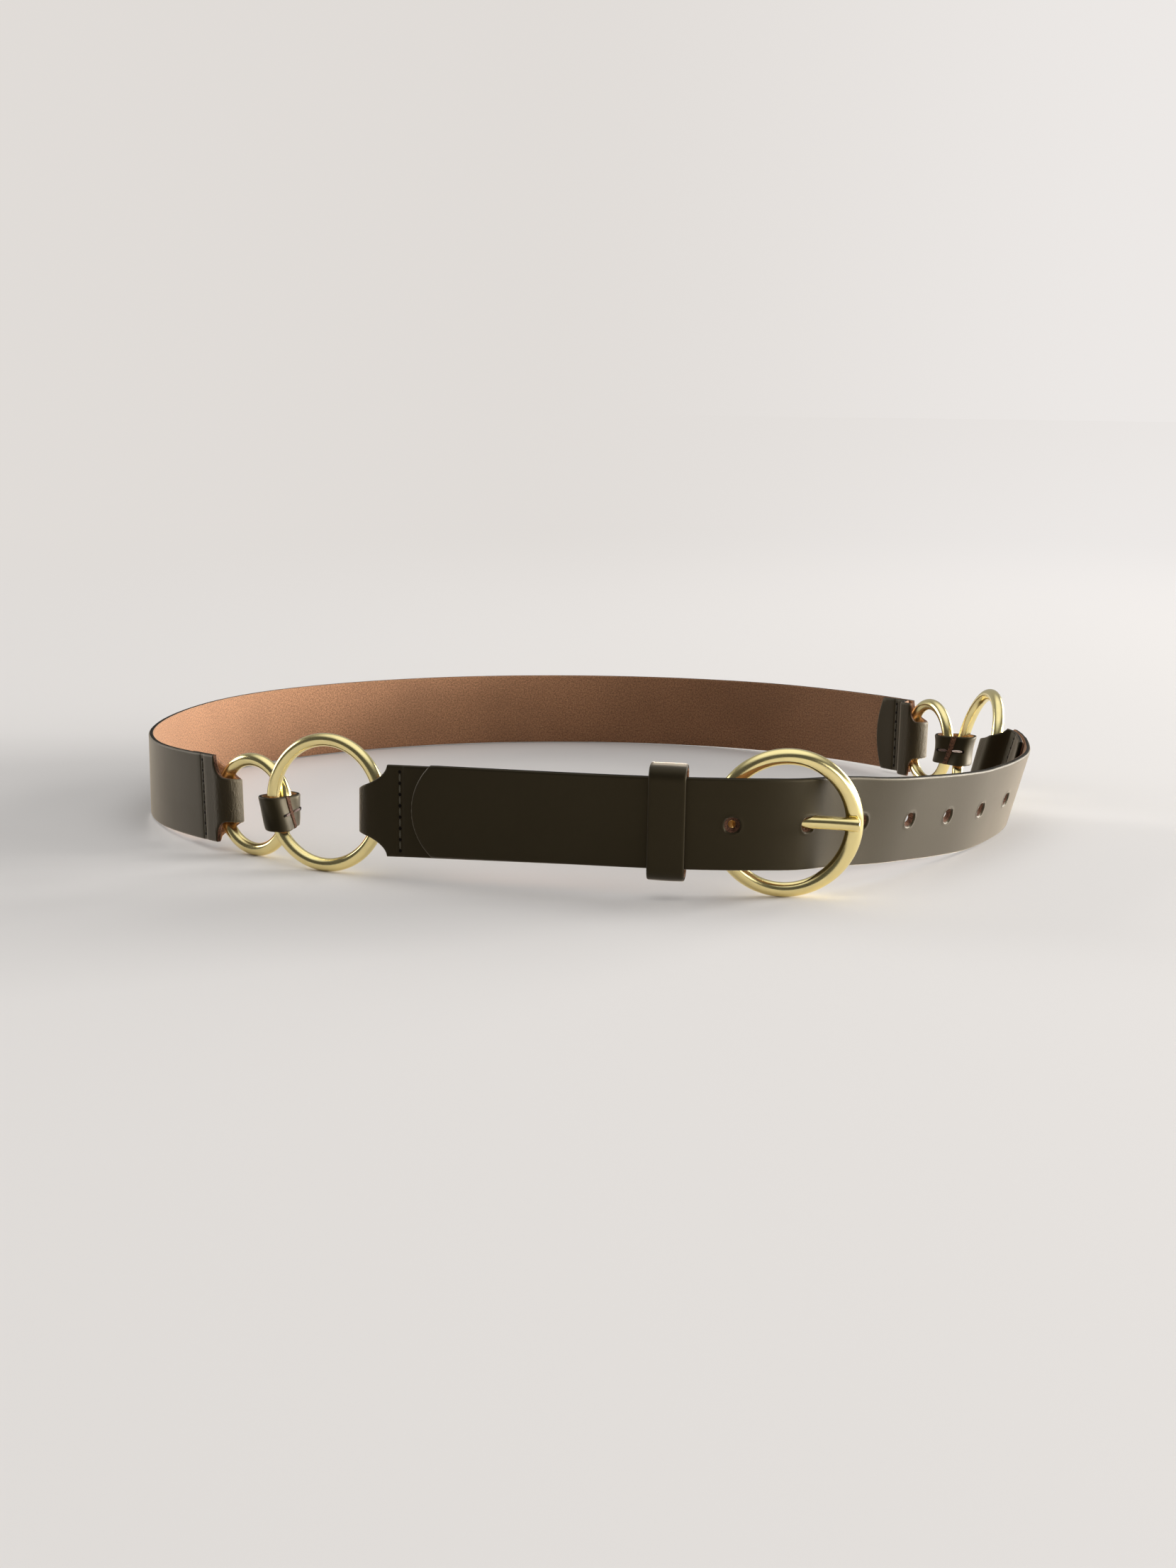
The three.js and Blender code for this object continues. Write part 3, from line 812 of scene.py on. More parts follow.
def flesh_side_material(colour):
    """Napped tan inner side with its speckle"""
    s = Surface("flesh_side_nap", "UV")
    nap = s.effect("flesh_side_nap", 3200.0)
    clouds = s.effect("handling_smudge", 25.0)["Mask"]
    base = s.mix(clouds, shade(colour, 0.98), shade(colour, 1.22))
    s.set(
        Base_Color=s.mix(nap["Speckle"], shade(colour, 0.34), base),
        Roughness=s.spread(nap["Speckle"], 0.82, 0.95),
        Specular_IOR_Level=0.2,
        Sheen_Weight=0.25,
        Sheen_Roughness=0.5,
        Sheen_Tint=(1.0, 0.8, 0.62),
        Normal=s.relief(nap["Height"], 0.00025, 0.55),
    )


def painted_edge_material(colour):
    """Edge paint: a little rounded and rubbed, slightly greyer than the grain side"""
    s = Surface("painted_edge")
    pores = s.effect("leather_pores", 1200.0)
    clouds = s.effect("handling_smudge", 160.0)["Mask"]
    s.set(
        Base_Color=s.mix(clouds, shade(colour, 0.9), (0.021, 0.017, 0.011)),
        Roughness=s.spread(clouds, 0.62, 0.78),
        Specular_IOR_Level=0.12,
        Specular_Tint=(1.0, 0.85, 0.6),
        Normal=s.relief(pores["Height"], 0.00006, 0.5),
    )


def cut_edge_material(colour):
    """Unpainted cut edge: red-brown fibres with dark flecks of the finish"""
    s = Surface("raw_cut_edge")
    fibres = s.effect("cut_edge_fibres", 2100.0)
    s.set(
        Base_Color=s.mix(fibres["Mask"], shade(colour, 0.25), shade(colour, 1.3)),
        Roughness=s.spread(fibres["Mask"], 0.7, 0.9),
        Specular_IOR_Level=0.12,
        Normal=s.relief(fibres["Height"], 0.0004, 0.8),
    )


def thread_material(name, colour):
    """Twisted waxed thread"""
    s = Surface(name)
    inputs = {"Vector": s.vector, "Scale": 900.0, "Distortion": 1.5}
    settings = {"wave_type": "BANDS", "bands_direction": "DIAGONAL"}
    twist = add_node(s.tree, "ShaderNodeTexWave", inputs, **settings).outputs["Fac"]
    s.set(
        Base_Color=s.mix(twist, shade(colour, 0.55), shade(colour, 1.25)),
        Roughness=s.spread(twist, 0.5, 0.7),
        Specular_IOR_Level=0.4,
        Sheen_Weight=0.2,
        Sheen_Roughness=0.4,
        Normal=s.relief(twist, 0.00008, 0.6),
    )


def needle_hole_shade_material():
    """Painted shade: the dark mouth of a needle hole, as a near-black colour on a flat disc"""
    s = Surface("needle_hole")
    mask = s.effect("cut_edge_fibres", 3500.0)["Mask"]
    s.set(
        Base_Color=s.mix(mask, (0.002, 0.0015, 0.001), (0.012, 0.007, 0.004)),
        Roughness=s.spread(mask, 0.8, 0.95),
        Specular_IOR_Level=0.1,
    )


def metal_material(colour, polish):
    """Polished pale gold with faint hairlines and handling haze"""
    s = Surface("polished_gold_metal")
    rubbing = s.effect("metal_rubbing", 2600.0)
    clouds = s.effect("handling_smudge", 110.0)["Mask"]
    s.set(
        Base_Color=s.mix(clouds, colour, shade(colour, 0.93)),
        Metallic=1.0,
        Roughness=s.spread(clouds, polish * 0.85, polish * 1.2),
        Normal=s.relief(rubbing["Height"], 0.000012, 0.25),
    )


def leather_slots(settings):
    """The four materials of a leather piece, in the order of its face numbers"""
    if "satin_grain_side" not in bpy.data.materials:
        grain_side_material(tuple(settings.grain_colour))
        flesh_side_material(tuple(settings.flesh_colour))
        painted_edge_material(tuple(settings.grain_colour))
        cut_edge_material(tuple(settings.cut_colour))
        thread_material("waxed_thread", tuple(settings.thread_colour))
        thread_material("pale_thread", (0.72, 0.58, 0.52))
        thread_material("brown_thread", (0.13, 0.075, 0.055))
        needle_hole_shade_material()
    names = ("satin_grain_side", "flesh_side_nap", "painted_edge", "raw_cut_edge")
    return [bpy.data.materials[name] for name in names]


def metal_slot(settings):
    if "polished_gold_metal" not in bpy.data.materials:
        metal_material(tuple(settings.colour), settings.polish)
    return bpy.data.materials["polished_gold_metal"]


# ---- Mesh work shared by the pieces ----


def as_object(bm, name, materials):
    """A bmesh as an object in the scene"""
    mesh = bpy.data.meshes.new(name)
    bm.to_mesh(mesh)
    bm.free()
    for material in materials:
        mesh.materials.append(material)
    made = bpy.data.objects.new(name, mesh)
    bpy.context.scene.collection.objects.link(made)
    return made


def finish_piece(bm, name, materials, node, sharp=SHARP_ANGLE):
    """Turn a bmesh into a piece that stands for a CAD node and rides on the belt"""
    if bm.calc_volume(signed=True) < 0:
        bmesh.ops.reverse_faces(bm, faces=bm.faces[:])
    piece = as_object(bm, name, materials)
    piece.data.shade_smooth()
    piece.data.set_sharp_from_angle(angle=math.radians(sharp))
    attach(piece, "root")
    if node:
        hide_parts(node)
    return piece


def fill_between(marks, step):
    """Sorted lengths with every gap between the marks filled in steps no longer than step"""
    kept = []
    for mark in sorted(marks):
        if not kept or mark - kept[-1] > 0.12:
            kept.append(mark)
    filled = [kept[0]]
    for start, end in zip(kept, kept[1:]):
        count = max(1, math.ceil((end - start) / step))
        filled += [start + (end - start) * k / count for k in range(1, count + 1)]
    return filled


def both_sides(parts):
    """Rows on both sides of the middle row, from one edge to the other"""
    return [-part for part in parts] + [0.0] + list(reversed(parts))


# Rows of corners across a strap, as parts of its half height: close at the edge, where it is
# rounded, and even round the holes
EDGE_ROWS = (1.0, 0.994, 0.984, 0.968, 0.94, 0.88, 0.78, 0.66, 0.54, 0.42)
PATCH_ROWS = tuple(PUNCH_PATCH * k / 3 / (STRAP_WIDTH / 2) for k in (3, 2, 1))
STRAP_ROWS = both_sides(EDGE_ROWS + PATCH_ROWS)


def cut_blank(columns, rows, half_at):
    """A flat grid with a line of corners for each column and row, as high as the blank there"""
    bm = bmesh.new()
    across, high = len(columns) - 1, len(rows) - 1
    bmesh.ops.create_grid(bm, x_segments=across, y_segments=high, size=0.5)
    for vert in bm.verts:
        s = columns[round((vert.co.x + 0.5) * across)]
        row = rows[round((vert.co.y + 0.5) * high)]
        vert.co = (s, row * half_at(s), 0.0)
    return bm


def punch(bm, at, radius):
    """Cut a round hole into the flat grid, with rings of faces round it"""
    reach = PUNCH_PATCH + 0.01

    def near(point):
        return abs(point.x - at) < reach and abs(point.y) < reach

    inside = [face for face in bm.faces if near(face.calc_center_median())]
    bmesh.ops.delete(bm, geom=inside, context="FACES")
    edges = [edge for edge in bm.edges if edge.is_boundary]
    border = [edge for edge in edges if all(near(vert.co) for vert in edge.verts)]
    grown = bmesh.ops.extrude_edge_only(bm, edges=border)["geom"]
    rim = {item for item in grown if isinstance(item, bmesh.types.BMVert)}
    middle = Vector((at, 0.0, 0.0))
    for vert in rim:
        vert.co = middle + (vert.co - middle).normalized() * radius
    spokes = {edge for vert in rim for edge in vert.link_edges if edge.other_vert(vert) not in rim}
    bmesh.ops.subdivide_edges(bm, edges=list(spokes), cuts=4, use_grid_fill=False)


def rounding(distance):
    """How thick the leather is near its edge, as a part of its full thickness"""
    t = clamp(distance / EDGE_ROUNDING)
    return 1.0 - EDGE_THINNING * (1.0 - t) ** 2


def write_sheet(bm):
    """The flat leather's own lengths as its UV map"""
    sheet = bm.loops.layers.uv.new("blank")
    for face in bm.faces:
        for loop in face.loops:
            co = loop.vert.co
            loop[sheet].uv = ((co.x + co.z) * MM, co.y * MM)


class StrapBlank:
    """One strap's blank: cut, punched, given its thickness and grooves, then bent into place"""

    # distances of the extra lines of corners from an end, past a notch and beside a stitch row
    END_MARKS = (0.06, 0.16, 0.32, 0.5)
    NOTCH_MARKS = (0.14, 0.4)
    GROOVE_MARKS = (-1.55, -1.3, -1.05, -0.6, 0.0, 0.6, 1.05, 1.3, 1.55)

    def __init__(self, lay, holes):
        self.lay = lay
        self.holes = holes
        self.start, self.end = lay.span()
        self.bm = cut_blank(self.columns(), STRAP_ROWS, lay.half)
        for at in holes:
            punch(self.bm, at, HOLE / 2)
        self.bm.normal_update()
        turned = [face for face in self.bm.faces if face.normal.z < 0]
        bmesh.ops.reverse_faces(self.bm, faces=turned)
        bmesh.ops.solidify(self.bm, geom=self.bm.faces[:], thickness=LEATHER)
        self.bm.normal_update()

    def columns(self):
        marks = [self.start, self.end]
        for d in self.END_MARKS:
            marks += [self.start + d, self.end - d]
        for fold in self.lay.folds:
            marks += self.fold_marks(fold)
        if self.lay.tip is not None:
            marks += [self.lay.tip + TIP_ARC_DEPTH * (1 - math.cos(k * 0.13)) for k in range(1, 13)]
        for at in self.holes:
            marks += self.patch_marks(at)
        kept = [mark for mark in marks if self.start <= mark <= self.end]
        return self.around_holes(fill_between(self.around_holes(kept), COLUMN_STEP))

    def fold_marks(self, fold):
        """Lines round the tube, down both notches, along both stitch rows and at the flap's end"""
        turned = math.pi * fold_radius(fold.tube)
        apex = fold.at + fold.ahead * math.pi / 2 * fold_radius(fold.tube)
        marks = [fold.at + fold.ahead * turned * k / 16 for k in range(17)]
        for notch, ahead in ((fold.main, -fold.ahead), (fold.flap, fold.ahead)):
            parts = [math.sin(math.pi / 2 * k / 12) for k in range(13)]
            marks += [apex + ahead * (notch.start + notch.length * part) for part in parts]
            marks += [apex + ahead * (notch.start + notch.length + d) for d in self.NOTCH_MARKS]
        close = fold.back + FLAP_CLOSE_AFTER
        for k in range(9):
            marks.append(fold.at + fold.ahead * (turned + close + FLAP_CLOSE_LENGTH * k / 8))
        for row in self.stitch_rows(fold):
            marks += [row + d for d in self.GROOVE_MARKS]
        end = self.lay.flap_end(fold)
        depths = [FLAP_ARC_DEPTH * (1 - math.cos(k * 0.26)) for k in range(1, 7)]
        return marks + [end - fold.ahead * depth for depth in depths]

    def patch_marks(self, at):
        return [at + PUNCH_PATCH * k / 3 for k in range(-3, 4)]

    def around_holes(self, marks):
        """Only the patch's own marks stay where a hole is punched"""
        wanted = {round(mark, 5) for at in self.holes for mark in self.patch_marks(at)}
        return [
            mark
            for mark in marks
            if round(mark, 5) in wanted
            or all(abs(mark - at) > PUNCH_PATCH + 0.2 for at in self.holes)
        ]

    def stitch_rows(self, fold):
        """The stitch row's length on the main layer and on the flap"""
        turned = math.pi * fold_radius(fold.tube)
        main = fold.at - fold.ahead * fold.stitch_row
        return main, fold.at + fold.ahead * (turned + fold.stitch_row)

    def in_hole(self, s, h):
        """A place on the flesh side, drawn in at a hole where the punch leaves the fibres ragged"""
        reach = HOLE / 2 + HOLE_RAG_REACH
        for at in self.holes:
            away = math.hypot(s - at, h)
            if away < reach:
                part = 1 - HOLE_RAG * clamp((reach - away) / HOLE_RAG_REACH)
                return at + (s - at) * part, h * part
        return s, h

    def edge_distance(self, s, h):
        """Distance to the nearest cut edge of the blank"""
        half = self.lay.half(s)
        slope = (self.lay.half(s + 0.05) - self.lay.half(s - 0.05)) / 0.1
        distance = (half - abs(h)) / math.sqrt(1 + slope * slope)
        distance = min(distance, s - self.start, self.end - s)
        for at in self.holes:
            distance = min(distance, math.hypot(s - at, h) - HOLE / 2)
        return max(distance, 0.0)

    def groove(self, s):
        """Depth of the pressed channel that holds a stitch row"""
        rows = [row for fold in self.lay.folds for row in self.stitch_rows(fold)]
        nearest = min(abs(s - row) for row in rows)
        return GROOVE_DEPTH * ease(clamp((GROOVE_HALF_WIDTH - nearest) / 0.5))

    def lip(self, s, h):
        """Height of the lip that a punch raises round a hole"""
        height = 0.0
        for at in self.holes:
            past = math.hypot(s - at, h) - HOLE / 2
            away = (past - HOLE_LIP_AWAY) / HOLE_LIP_WIDTH
            height = max(height, HOLE_LIP * math.exp(-(away**2)))
        return height

    def colour_faces(self):
        """Number each face: grain side, flesh side, painted edge, or cut edge near the folds"""
        for face in self.bm.faces:
            middle = face.calc_center_median()
            if abs(face.normal.z) > 0.5:
                face.material_index = FLESH_SIDE if face.normal.z > 0 else GRAIN_SIDE
                continue
            at_fold = any(in_notch(fold, middle.x) for fold in self.lay.folds)
            at_hole = any(abs(middle.x - at) < HOLE and abs(middle.y) < HOLE for at in self.holes)
            face.material_index = CUT_EDGE if at_fold or at_hole else PAINTED_EDGE

    def write_bend(self):
        """How strongly the leather is bent, as an attribute"""
        bend = self.bm.verts.layers.float.new("bend")
        for vert in self.bm.verts:
            away = [past_apex(fold, vert.co.x) / BEND_REACH for fold in self.lay.folds]
            vert[bend] = max(math.exp(-(part**2)) for part in away)

    def finish(self, name, node):
        self.colour_faces()
        write_sheet(self.bm)
        self.write_bend()
        for vert in self.bm.verts:
            s, h, z = vert.co
            side = 1 if z > -LEATHER / 2 else -1
            through = side * LEATHER / 2 * rounding(self.edge_distance(s, h))
            if side < 0:
                through += self.groove(s) - self.lip(s, h)
            else:
                s, h = self.in_hole(s, h)
            vert.co = self.lay.place(s, h, through)
        bmesh.ops.remove_doubles(self.bm, verts=self.bm.verts[:], dist=WELD)
        slots = leather_slots(bpy.context.scene.belt_leather)
        return finish_piece(self.bm, name, slots, node)


def upright_bar(radius, length, segments):
    bm = bmesh.new()
    bmesh.ops.create_cone(
        bm,
        cap_ends=True,
        segments=segments,
        radius1=radius * MM,
        radius2=radius * MM,
        depth=length * MM,
    )
    return bm


def lay_prong(bm):
    """Lay a straight upright bar on the prong's line, and sag it a little towards the strap"""
    start, end, along, side = prong_line()
    length = (end - start).length
    lengthwise = [e for e in bm.edges if abs(e.verts[0].co.z - e.verts[1].co.z) > length / 2 * MM]
    bmesh.ops.subdivide_edges(bm, edges=lengthwise, cuts=28, use_grid_fill=False)
    turn = along.to_track_quat("Z", "Y").to_matrix().to_4x4()
    middle = (start + end) / 2 * MM
    bmesh.ops.transform(bm, matrix=Matrix.Translation(middle) @ turn, verts=bm.verts)
    for vert in bm.verts:
        t = clamp((vert.co / MM - start).dot(along) / length)
        vert.co = vert.co + side * (prong_sag(t) * MM)


def prong_cutter():
    """The prong's bar with a little room round it, to cut its bed in the strap"""
    start, end = prong_line()[:2]
    bm = upright_bar(PRONG / 2 + PRONG_ROOM, (end - start).length, 40)
    lay_prong(bm)
    return bm


def slot_cutter():
    """A box where the prong's loop passes through the fold round the buckle"""
    ring = RINGS["buckle"]
    size = (24.0, 6.4, 5 * LEATHER + BUCKLE_TUBE)
    bm = bmesh.new()
    bmesh.ops.create_cube(bm, size=1.0)
    turn = Matrix((ring.across, ring.up, ring.front)).transposed().to_4x4()
    scale = Matrix.Diagonal((*[length * MM for length in size], 1.0))
    place = Matrix.Translation(tube_at(ring, -1) * MM)
    bmesh.ops.transform(bm, matrix=place @ turn @ scale, verts=bm.verts)
    return bm


def carve(piece, bm):
    """Cut the shape of a bmesh out of a piece for good; the new faces are cut edges"""
    for face in bm.faces:
        face.material_index = CUT_EDGE
    cutter = as_object(bm, "cutter", leather_slots(bpy.context.scene.belt_leather))
    cut = piece.modifiers.new("cut", "BOOLEAN")
    cut.operation = "DIFFERENCE"
    cut.solver = "MANIFOLD"
    cut.object = cutter
    bpy.context.view_layer.update()
    graph = bpy.context.evaluated_depsgraph_get()
    carved = bpy.data.meshes.new_from_object(
        piece.evaluated_get(graph), preserve_all_data_layers=True, depsgraph=graph
    )
    if len(carved.polygons) < 0.8 * len(piece.data.polygons):
        raise RuntimeError(f"{piece.name} was not carved cleanly")
    piece.modifiers.clear()
    old = piece.data
    piece.data = carved
    carved.set_sharp_from_angle(angle=math.radians(SHARP_ANGLE))
    bpy.data.meshes.remove(old)
    bpy.data.objects.remove(cutter, do_unlink=True)


# ---- Stitches ----


class Stitches:
    """Many small stitches and the near-black discs of painted shade in their needle holes, gathered in one
    piece
    """

    def __init__(self, thickness=THREAD, hole=NEEDLE_HOLE):
        self.bm = bmesh.new()
        self.thickness = thickness
        self.hole_shade_size = hole

    def bead(self, centre, along, out, size, material):
        """One smooth bead, longer along its stitch"""
        before = set(self.bm.verts)
        bmesh.ops.create_uvsphere(self.bm, u_segments=8, v_segments=7, radius=0.5)
        made = [vert for vert in self.bm.verts if vert not in before]
        side = out.cross(along).normalized()
        turn = Matrix((side, out, along)).transposed().to_4x4()
        scale = Matrix.Diagonal((size[0] * MM, size[1] * MM, size[2] * MM, 1.0))
        place = Matrix.Translation(centre) @ turn @ scale
        bmesh.ops.transform(self.bm, matrix=place, verts=made)
        for face in {face for vert in made for face in vert.link_faces}:
            face.material_index = material

    def hole(self, place, along, out):
        """A near-black disc of painted shade for the dark mouth of a needle hole, flush with the leather"""
        size = self.hole_shade_size
        self.bead(place, along, out, (size, 0.14, size), 0)

    def stitch(self, start, end, out, thread=1):
        """The thread between two needle holes; places in metres"""
        along = (end - start).normalized()
        length = (end - start).length / MM
        thick = self.thickness
        middle = (start + end) / 2 + out * (thick * 0.12 * MM)
        self.bead(middle, along, out, (thick, thick * 0.8, length), thread)

    def finish(self, name, *threads):
        # slot 0 is the near-black painted shade of the needle holes
        materials = [bpy.data.materials[thread] for thread in ("needle_hole", *threads)]
        return finish_piece(self.bm, name, materials, None, NEVER_SHARP)


def stitch_fold(stitches, blank, fold, pitch, length, surfaces):
    """A row of stitches across a strap beside a fold, on the named surfaces of the leather"""
    rows = dict(zip(("main", "flap"), blank.stitch_rows(fold)))
    count = int((STRAP_WIDTH - STITCH_MARGIN) // pitch)
    for surface in surfaces:
        s = rows[surface]
        lie = blank.lay.lie(s)
        heights = [(k - count / 2) * pitch for k in range(count + 1)]
        places = [blank.lay.place(s, h, GROOVE_DEPTH - LEATHER / 2) for h in heights]
        # a near-black disc of painted shade at each needle hole
        for place in places:
            stitches.hole(place, lie.up, -lie.through)
        for place, following in zip(places, places[1:]):
            inset = (following - place) * ((1 - length / pitch) / 2)
            stitches.stitch(place + inset, following - inset, -lie.through)


def make_strap(context, name, lay, sewn, holes=(), cutter=None):
    """A strap with its stitches. sewn: for each fold, the layers that carry a stitch row."""
    settings = context.scene.belt_leather
    leather_slots(settings)
    pitch, length = settings.stitch_pitch / MM, settings.stitch_length / MM
    blank, stitches = StrapBlank(lay, holes), Stitches()
    for fold, surfaces in zip(lay.folds, sewn):
        stitch_fold(stitches, blank, fold, pitch, length, surfaces)
    strap = blank.finish(f"{name}_leather", name)
    if cutter is not None:
        carve(strap, cutter)
    stitches.finish(f"{name}_stitches", "waxed_thread")


# ---- Operators ----


class BELT_OT_back_strap(Operator):
    """Long strap round the back, folded round the small ring at each end"""

    bl_idname = "belt.back_strap"
    bl_label = "Back strap"

    def execute(self, context):
        make_strap(context, "back_strap", BACK_LAY, [("main", "flap"), ("main", "flap")])
        return {"FINISHED"}


class BELT_OT_tip_strap(Operator):
    """Front and right strap with the arc tip and the punched holes"""

    bl_idname = "belt.tip_strap"
    bl_label = "Tip strap"

    def execute(self, context):
        holes = [FIRST_HOLE + HOLE_PITCH * k for k in range(HOLE_COUNT)]
        make_strap(context, "tip_strap", TIP_LAY, [("main", "flap")], holes, prong_cutter())
        return {"FINISHED"}


class BELT_OT_buckle_strap(Operator):
    """Short strap under the tip strap, folded round the left big ring and round the buckle"""

    bl_idname = "belt.buckle_strap"
    bl_label = "Buckle strap"

    def execute(self, context):
        sewn = [("main", "flap"), ("flap",)]
        make_strap(context, "buckle_strap", BUCKLE_LAY, sewn, cutter=slot_cutter())
        return {"FINISHED"}


def rounded_path(half_length, half_width, corner):
    """Place and outward direction at a length round a rounded rectangle, and its whole length"""
    straight_x, straight_y = 2 * (half_length - corner), 2 * (half_width - corner)
    arc = math.pi / 2 * corner
    total = 2 * (straight_x + straight_y) + 4 * arc
    half_x = straight_x / 2
    legs = (half_x, arc, straight_y, arc, straight_x, arc, straight_y, arc, half_x)

    def at(p):
        p %= total
        x, y, heading = 0.0, -half_width, 0.0
        for number, leg in enumerate(legs):
            step = min(p, leg)
            if number % 2:
                turned = step / corner
                centre_x = x - math.sin(heading) * corner
                centre_y = y + math.cos(heading) * corner
                heading += turned
                x = centre_x + math.sin(heading) * corner
                y = centre_y - math.cos(heading) * corner
            else:
                x += math.cos(heading) * step
                y += math.sin(heading) * step
            p -= step
            if p <= 1e-9:
                break
        return x, y, math.sin(heading), -math.cos(heading)

    return at, total


def band(columns, rows, leather, shape, raw_at=None):
    """A leather band closed on itself: a flat strip given its thickness, bent and welded.

    shape turns a length, a height and a distance outwards into a place in metres.
    """
    half = max(rows)
    bm = cut_blank(columns, rows, lambda s: 1.0)
    bm.normal_update()
    bmesh.ops.solidify(bm, geom=bm.faces[:], thickness=leather)
    bm.normal_update()
    write_sheet(bm)
    bm.verts.layers.float.new("bend")
    for face in bm.faces:
        face.material_index = PAINTED_EDGE
        if face.normal.z < -0.5:
            face.material_index = FLESH_SIDE
        elif face.normal.z > 0.5:
            raw = raw_at is not None and raw_at(face.calc_center_median())
            face.material_index = CUT_EDGE if raw else GRAIN_SIDE
    ends = [face for face in bm.faces if abs(face.normal.x) > 0.5]
    bmesh.ops.delete(bm, geom=ends, context="FACES")
    for vert in bm.verts:
        s, h, z = vert.co
        side = 1 if z > -leather / 2 else -1
        vert.co = shape(s, h, side * leather / 2 * rounding(half - abs(h)))
    bmesh.ops.remove_doubles(bm, verts=bm.verts[:], dist=WELD)
    return bm


class BELT_OT_keeper(Operator):
    """Loose leather loop round the tip strap and the buckle strap"""

    bl_idname = "belt.keeper"
    bl_label = "Keeper"

    def execute(self, context):
        spot = front.spot(KEEPER_AT)
        depth = 3 * LEATHER + 2 * LAYER_GAP + KEEPER_ROOM
        half_length = KEEPER_HEIGHT / 2 - KEEPER_LEATHER / 2
        half_width = depth / 2 + KEEPER_LEATHER / 2
        path, total = rounded_path(half_length, half_width, BAND_CORNER + KEEPER_LEATHER / 2)
        centre = spot.point + spot.inward * (LEATHER + LAYER_GAP) - spot.up * (UNDER_STRAP_DROP / 2)
        turn = Matrix.Rotation(math.radians(KEEPER_TILT), 3, spot.inward)
        up, along = turn @ spot.up, turn @ spot.along
        cross = along.cross(up)

        def shape(s, h, through):
            x, y, out_x, out_y = path(s)
            crown = 0.12 * (1 - (h / (KEEPER_WIDTH / 2)) ** 2)
            x += out_x * (through + crown)
            y += out_y * (through + crown)
            return (centre + up * x + cross * y + along * h) * MM

        parts = (1.0, 0.985, 0.96, 0.92, 0.8, 0.6, 0.4, 0.2)
        rows = both_sides([part * KEEPER_WIDTH / 2 for part in parts])
        columns = [total * k / 120 for k in range(121)]
        bm = band(columns, rows, KEEPER_LEATHER, shape)
        slots = leather_slots(context.scene.belt_leather)
        finish_piece(bm, "keeper_leather", slots, "keeper")
        return {"FINISHED"}


